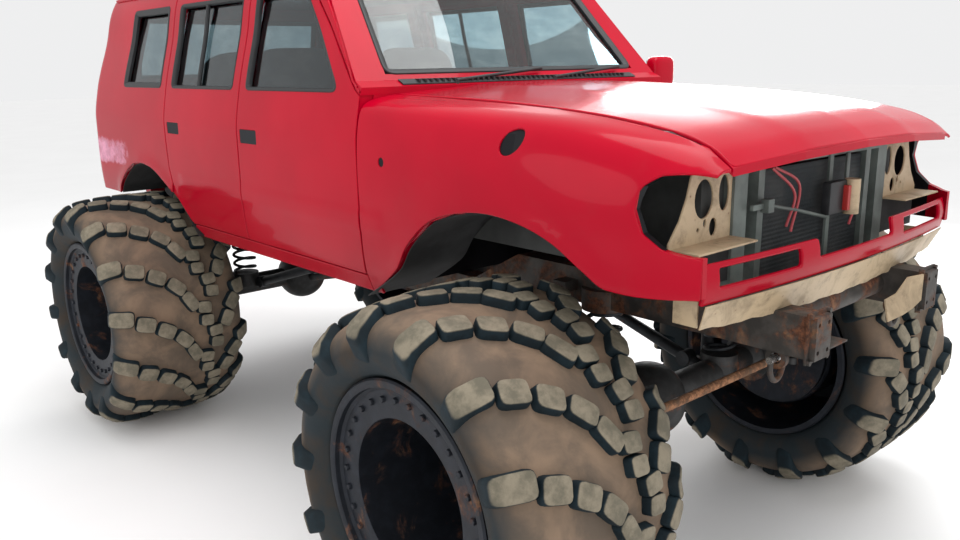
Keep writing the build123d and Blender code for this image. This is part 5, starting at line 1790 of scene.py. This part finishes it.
class VEHICLE_OT_front_details(bpy.types.Operator):
    """Build the loose parts left behind the missing grille and on the frame ends"""
    bl_idname = "vehicle.front_details"
    bl_label = "Front details"

    def execute(self, context):
        self.latch(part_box("radiator_support")[0][1] - 0.003)
        self.lamp_panels()
        self.apron()
        self.horns(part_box("chassis_rails")[0][1])
        return {"FINISHED"}

    def latch(self, face):
        """The latch and its loose wires; each box is near corner, far corner and bevel, ahead of the face."""
        def boxes(*corners):
            return [box_part((x0, face - near, z0), (x1, face - far, z1), bevel)
                    for x0, near, z0, x1, far, z1, bevel in corners]

        rod = [(-0.355, face - 0.020, 1.500), (-0.19, face - 0.024, 1.466), (0.010, face - 0.020, 1.418)]
        brackets = boxes((-0.430, 0.014, 1.490, -0.330, 0.001, 1.508, 0.003),
                         (-0.372, 0.030, 1.478, -0.338, 0.002, 1.520, 0.003),
                         (0.150, 0.012, 1.530, 0.172, 0.004, 1.618, 0.002))
        whole_piece("latch_rod_and_brackets", [tube_part(rod, 0.006, 10), *brackets], "upright", "chassis")
        wires = []
        for start, sag, end in (((-0.330, 1.610), (-0.215, 1.520), (-0.245, 1.420)),
                                ((-0.315, 1.612), (-0.190, 1.545), (-0.215, 1.400)),
                                ((0.160, 1.530), (0.200, 1.450), (0.180, 1.370))):
            points = [(x, face - out, z) for (x, z), out in ((start, 0.010), (sag, 0.026), (end, 0.020))]
            wires.append(tube_part(curve_through(points, 8), 0.0045, 8))
        whole_piece("loose_wires", wires, "wire", "chassis")
        box = boxes((0.004, 0.034, 1.424, 0.118, 0.002, 1.532, 0.006))
        whole_piece("latch_box", box, "plastic", "chassis")
        can = boxes((0.092, 0.052, 1.432, 0.112, 0.030, 1.516, 0.003))
        whole_piece("latch_can", can, "can", "chassis")
        pipe = tube_part([(0.142, face - 0.040, 1.416), (0.142, face - 0.040, 1.534)], 0.026, 18)
        whole_piece("latch_pipe", [pipe], "cream", "chassis")

    def lamp_panels(self):
        back = box_part((LAMP_INNER, LAMP_FACE + 0.001, 1.288), (LAMP_OUTER, LAMP_FACE + 0.005, 1.416), 0.001)
        whole_piece("lamp_shelf_backs", [both_sides(back)], "under", "chassis")

        def flat(x, z):
            return np.stack([x, np.full_like(x, LAMP_FACE), z], axis=-1)

        sheet = [(LAMP_INNER, 1.419), (0.800, 1.419), (0.800, 1.440), (0.752, 1.500), (0.722, 1.560),
                 (0.705, 1.618), (0.690, 1.632), (LAMP_INNER, 1.632)]
        holes = [oval(0.640, 1.548, 0.045, 0.056, 22, 6.0), oval(0.540, 1.556, 0.026, 0.052, 20, 6.0),
                 oval(0.590, 1.462, 0.018, 0.026, 14, 6.0), oval(0.632, 1.478, 0.007, 0.012, 9, 5.7),
                 oval(0.664, 1.462, 0.006, 0.006, 8, 5.7)]
        part = panel(flat, rounded(sheet, 0.006, 3), holes, cell=0.018, fold=0.003, wall=0.006, lift=0.0)
        both_panels("lamp_panel_sheets", part, "cream")
        shelf = box_part((LAMP_INNER, LAMP_FACE - 0.092, 1.4185), (LAMP_OUTER, LAMP_FACE, 1.4245), 0.001)
        piece = whole_piece("lamp_panel_shelves", [both_sides(shelf)], "cream", "chassis")
        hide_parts("front_panels")

    def apron(self):
        """The pale sheet below the valance, bowed like it, its lower edge ragged."""
        low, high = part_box("valance")
        half, foot, front = high[0] - 0.010, low[2] + 0.002, low[1] + 0.047
        grids = []
        for depth in (0.0, 0.004):
            rows = []
            for share in np.linspace(0, 1, 5):
                row = []
                for x in np.linspace(-half, half, 61):
                    bow = 1 - (x / half) ** 2
                    z = foot - (0.078 + 0.020 * bow) * share
                    ragged = 0.002 * math.sin(x * 31) + 0.0015 * math.sin(x * 67 + 1)
                    row.append((x * (1 - 0.03 * share), front - 0.045 * bow + 0.034 * share + depth,
                                z + ragged * share))
                rows.append(row)
            grids.append(rows)
        ends = [box_part((x - 0.003, -2.066, 1.208), (x + 0.003, -1.985, 1.284), 0.001)
                for x in (0.752, -0.752)]
        whole_piece("lower_apron", [slab_part(*grids), *ends], "cream", "chassis")

    def horns(self, end_y):
        """The bolted plates, shackles and torn brackets on the ends of the rails."""
        plate_y, plate_z, thick = end_y + 0.018, 1.14, 0.005
        hook_y, hook_z = end_y + 0.130, 1.051
        plates, pins = [], []
        for sx in (1, -1):
            x, hook_x = sx * 0.385, sx * 0.405
            plates.append(box_part((x - 0.060, plate_y, 1.062), (x + 0.060, plate_y + 0.008, 1.218), 0.002))
            for dx in (-0.052, 0.052):
                for dz in (-0.070, 0.070):
                    bolt = [(x + dx, y, plate_z + dz) for y in (plate_y, plate_y - 0.010)]
                    plates.append(tube_part(bolt, 0.008, 6))
            bow = [(hook_x + dx, hook_y, hook_z + dz) for dx, dz in
                   ((-0.034, 0.0), (-0.036, -0.035), (-0.022, -0.062), (0.0, -0.072), (0.022, -0.062),
                    (0.036, -0.035), (0.034, 0.0))]
            plates.append(tube_part(curve_through(bow, 5), 0.009, 10))
            pin = [(hook_x - 0.046, hook_y, hook_z), (hook_x + 0.050, hook_y, hook_z)]
            pins.append(tube_part(pin, 0.011, 12))

        def sheet(*rows):
            return slab_part(*[[[(x, end_y + back + depth, z) for x, back, z in row] for row in rows]
                               for depth in (0.0, thick)])

        plates.append(box_part((-0.328, end_y + 0.020, 1.078), (-0.185, end_y + 0.120, 1.084), 0.001))
        plates.append(sheet(((-0.322, 0.030, 1.084), (-0.322, 0.030, 1.150)),
                            ((-0.250, 0.060, 1.084), (-0.292, 0.044, 1.120))))
        whole_piece("horn_plates", plates, "rusty", "chassis")
        torn = sheet(((0.322, 0.006, 1.112), (0.322, 0.006, 1.204)),
                     ((0.285, 0.018, 1.086), (0.292, 0.044, 1.192)),
                     ((0.240, 0.030, 1.070), (0.246, 0.058, 1.140)),
                     ((0.205, 0.062, 1.046), (0.215, 0.082, 1.118)))
        whole_piece("torn_bracket", [torn], "cream", "chassis")
        whole_piece("shackle_pins", pins, "bright", "chassis")


# Stage

CAMERA_PLACE = (-2.697, -3.362, 1.931)
CAMERA_YAW, CAMERA_PITCH, CAMERA_ROLL = 41.51, 13.60, -0.94
CAMERA_LENS = 32.09
LIGHT_COLOUR, SHOWN_COLOUR = (1.0, 1.0, 1.0), (0.86, 0.862, 0.867)
FLOOR_REACH = 60

# Lamps: name, place, size, power and what they point at
LAMPS = (
    ("overhead", (0.5, -1.5, 6.0), 5.0, 230, (0, 0, 1.0)),
    ("hood_sheen", (6.5, 2.4, 2.6), 3.6, 300, (0, -1.5, 1.7)),
    ("front_fill", (-4.5, -6.0, 3.2), 4.0, 60, (0, 0, 1.2)),
    ("side_fill", (-7.0, 1.5, 3.0), 4.0, 60, (0, 0, 1.2)),
    ("back_fill", (5.5, 5.5, 4.0), 4.0, 60, (0, 0, 1.2)),
)


class VEHICLE_OT_stage(bpy.types.Operator):
    """Set the floor, the lamps, the pale world and the camera"""
    bl_idname = "vehicle.stage"
    bl_label = "Stage"

    def execute(self, context):
        scene = context.scene
        colour = tuple(scene.vehicle_colours.floor)
        floor = bpy.data.meshes.new("floor")
        corners = [(x * FLOOR_REACH, y * FLOOR_REACH, 0) for x, y in ((-1, -1), (1, -1), (1, 1), (-1, 1))]
        floor.from_pydata(corners, [], [(0, 1, 2, 3)])
        floor_piece = bpy.data.objects.new("floor", floor)
        scene.collection.objects.link(floor_piece)
        n = Nodes("floor")
        tone = n.mix(n.remap(n.noise(0.8, 4), 0.3, 0.7), shade(colour, 0.98), colour)
        n.set(Base_Color=tone, Roughness=0.9)
        n.set(Specular_IOR_Level=0.1)
        floor.materials.append(n.material)
        world = bpy.data.worlds.new("studio")
        world.use_nodes = True
        scene.world = world
        tree = world.node_tree
        tree.nodes.clear()
        output = tree.nodes.new("ShaderNodeOutputWorld")
        mix = tree.nodes.new("ShaderNodeMixShader")
        kinds = (("ShaderNodeBackground", LIGHT_COLOUR, 0.98), ("ShaderNodeBackground", SHOWN_COLOUR, 1))
        for socket, (kind, colour, strength) in enumerate(kinds, 1):
            node = tree.nodes.new(kind)
            node.inputs["Color"].default_value = (*colour, 1)
            node.inputs["Strength"].default_value = strength
            tree.links.new(node.outputs[0], mix.inputs[socket])
        path = tree.nodes.new("ShaderNodeLightPath")
        seen = path.outputs["Is Camera Ray"]
        for ray in ("Is Glossy Ray", "Is Transmission Ray"):
            most = tree.nodes.new("ShaderNodeMath")
            most.operation = "MAXIMUM"
            tree.links.new(seen, most.inputs[0])
            tree.links.new(path.outputs[ray], most.inputs[1])
            seen = most.outputs[0]
        tree.links.new(seen, mix.inputs[0])
        tree.links.new(mix.outputs[0], output.inputs[0])
        for name, place, size, power, aim in LAMPS:
            lamp = bpy.data.lights.new(name, "AREA")
            lamp.shape = "DISK"
            lamp.size = size
            lamp.energy = power
            piece = bpy.data.objects.new(name, lamp)
            piece.location = place
            piece.rotation_euler = (Vector(aim) - Vector(place)).to_track_quat("-Z", "Y").to_euler()
            scene.collection.objects.link(piece)
        camera = bpy.data.cameras.new("camera")
        camera.lens = CAMERA_LENS
        camera.sensor_width = 36
        camera.clip_end = 200
        camera.dof.use_dof = False
        viewer = bpy.data.objects.new("camera", camera)
        yaw, pitch, roll = map(math.radians, (CAMERA_YAW, CAMERA_PITCH, CAMERA_ROLL))
        forward = Vector((math.sin(yaw) * math.cos(pitch), math.cos(yaw) * math.cos(pitch), -math.sin(pitch)))
        right = Vector((math.cos(yaw), -math.sin(yaw), 0))
        up = right.cross(forward)
        rolled_right = right * math.cos(roll) + up * math.sin(roll)
        rolled_up = up * math.cos(roll) - right * math.sin(roll)
        pose = Matrix((rolled_right, rolled_up, -forward)).transposed().to_4x4()
        pose.translation = Vector(CAMERA_PLACE)
        viewer.matrix_world = pose
        scene.collection.objects.link(viewer)
        scene.camera = viewer
        scene.view_settings.view_transform = "Standard"
        return {"FINISHED"}


GROUPS = (VEHICLE_PG_body, VEHICLE_PG_wheels, VEHICLE_PG_colours)
OPERATORS = (
    VEHICLE_OT_stage,
    VEHICLE_OT_finishes,
    VEHICLE_OT_body_sides,
    VEHICLE_OT_doors,
    VEHICLE_OT_wings,
    VEHICLE_OT_hood,
    VEHICLE_OT_tailgates,
    VEHICLE_OT_roof,
    VEHICLE_OT_valance,
    VEHICLE_OT_gaskets,
    VEHICLE_OT_tyres,
    VEHICLE_OT_rims,
    VEHICLE_OT_liners,
    VEHICLE_OT_suspension,
    VEHICLE_OT_cabin,
    VEHICLE_OT_front_details,
)


class VEHICLE_PT_panel(bpy.types.Panel):
    """The vehicle's operators and settings"""
    bl_idname = "VEHICLE_PT_panel"
    bl_label = "Utility Vehicle"
    bl_space_type = "VIEW_3D"
    bl_region_type = "UI"
    bl_category = "Utility Vehicle"

    def draw(self, context):
        for operator in OPERATORS:
            self.layout.operator(operator.bl_idname)
        for group, fields in (
            (context.scene.vehicle_body, ("cell", "fold", "wall", "gasket")),
            (context.scene.vehicle_wheels, ("lug_height", "pitches", "bolts")),
            (context.scene.vehicle_colours, ("paint", "primer", "rust", "cream", "rubber", "dust", "floor")),
        ):
            for field in fields:
                self.layout.prop(group, field)


def register():
    for group in GROUPS:
        bpy.utils.register_class(group)
    for operator in OPERATORS:
        bpy.utils.register_class(operator)
    bpy.utils.register_class(VEHICLE_PT_panel)
    bpy.types.Scene.vehicle_body = PointerProperty(type=VEHICLE_PG_body)
    bpy.types.Scene.vehicle_wheels = PointerProperty(type=VEHICLE_PG_wheels)
    bpy.types.Scene.vehicle_colours = PointerProperty(type=VEHICLE_PG_colours)


def unregister():
    del bpy.types.Scene.vehicle_colours
    del bpy.types.Scene.vehicle_wheels
    del bpy.types.Scene.vehicle_body
    bpy.utils.unregister_class(VEHICLE_PT_panel)
    for operator in reversed(OPERATORS):
        bpy.utils.unregister_class(operator)
    for group in reversed(GROUPS):
        bpy.utils.unregister_class(group)


def main():
    register()
    for operator in OPERATORS:
        family, name = operator.bl_idname.split(".")
        getattr(getattr(bpy.ops, family), name)()


if __name__ == "__main__":
    main()
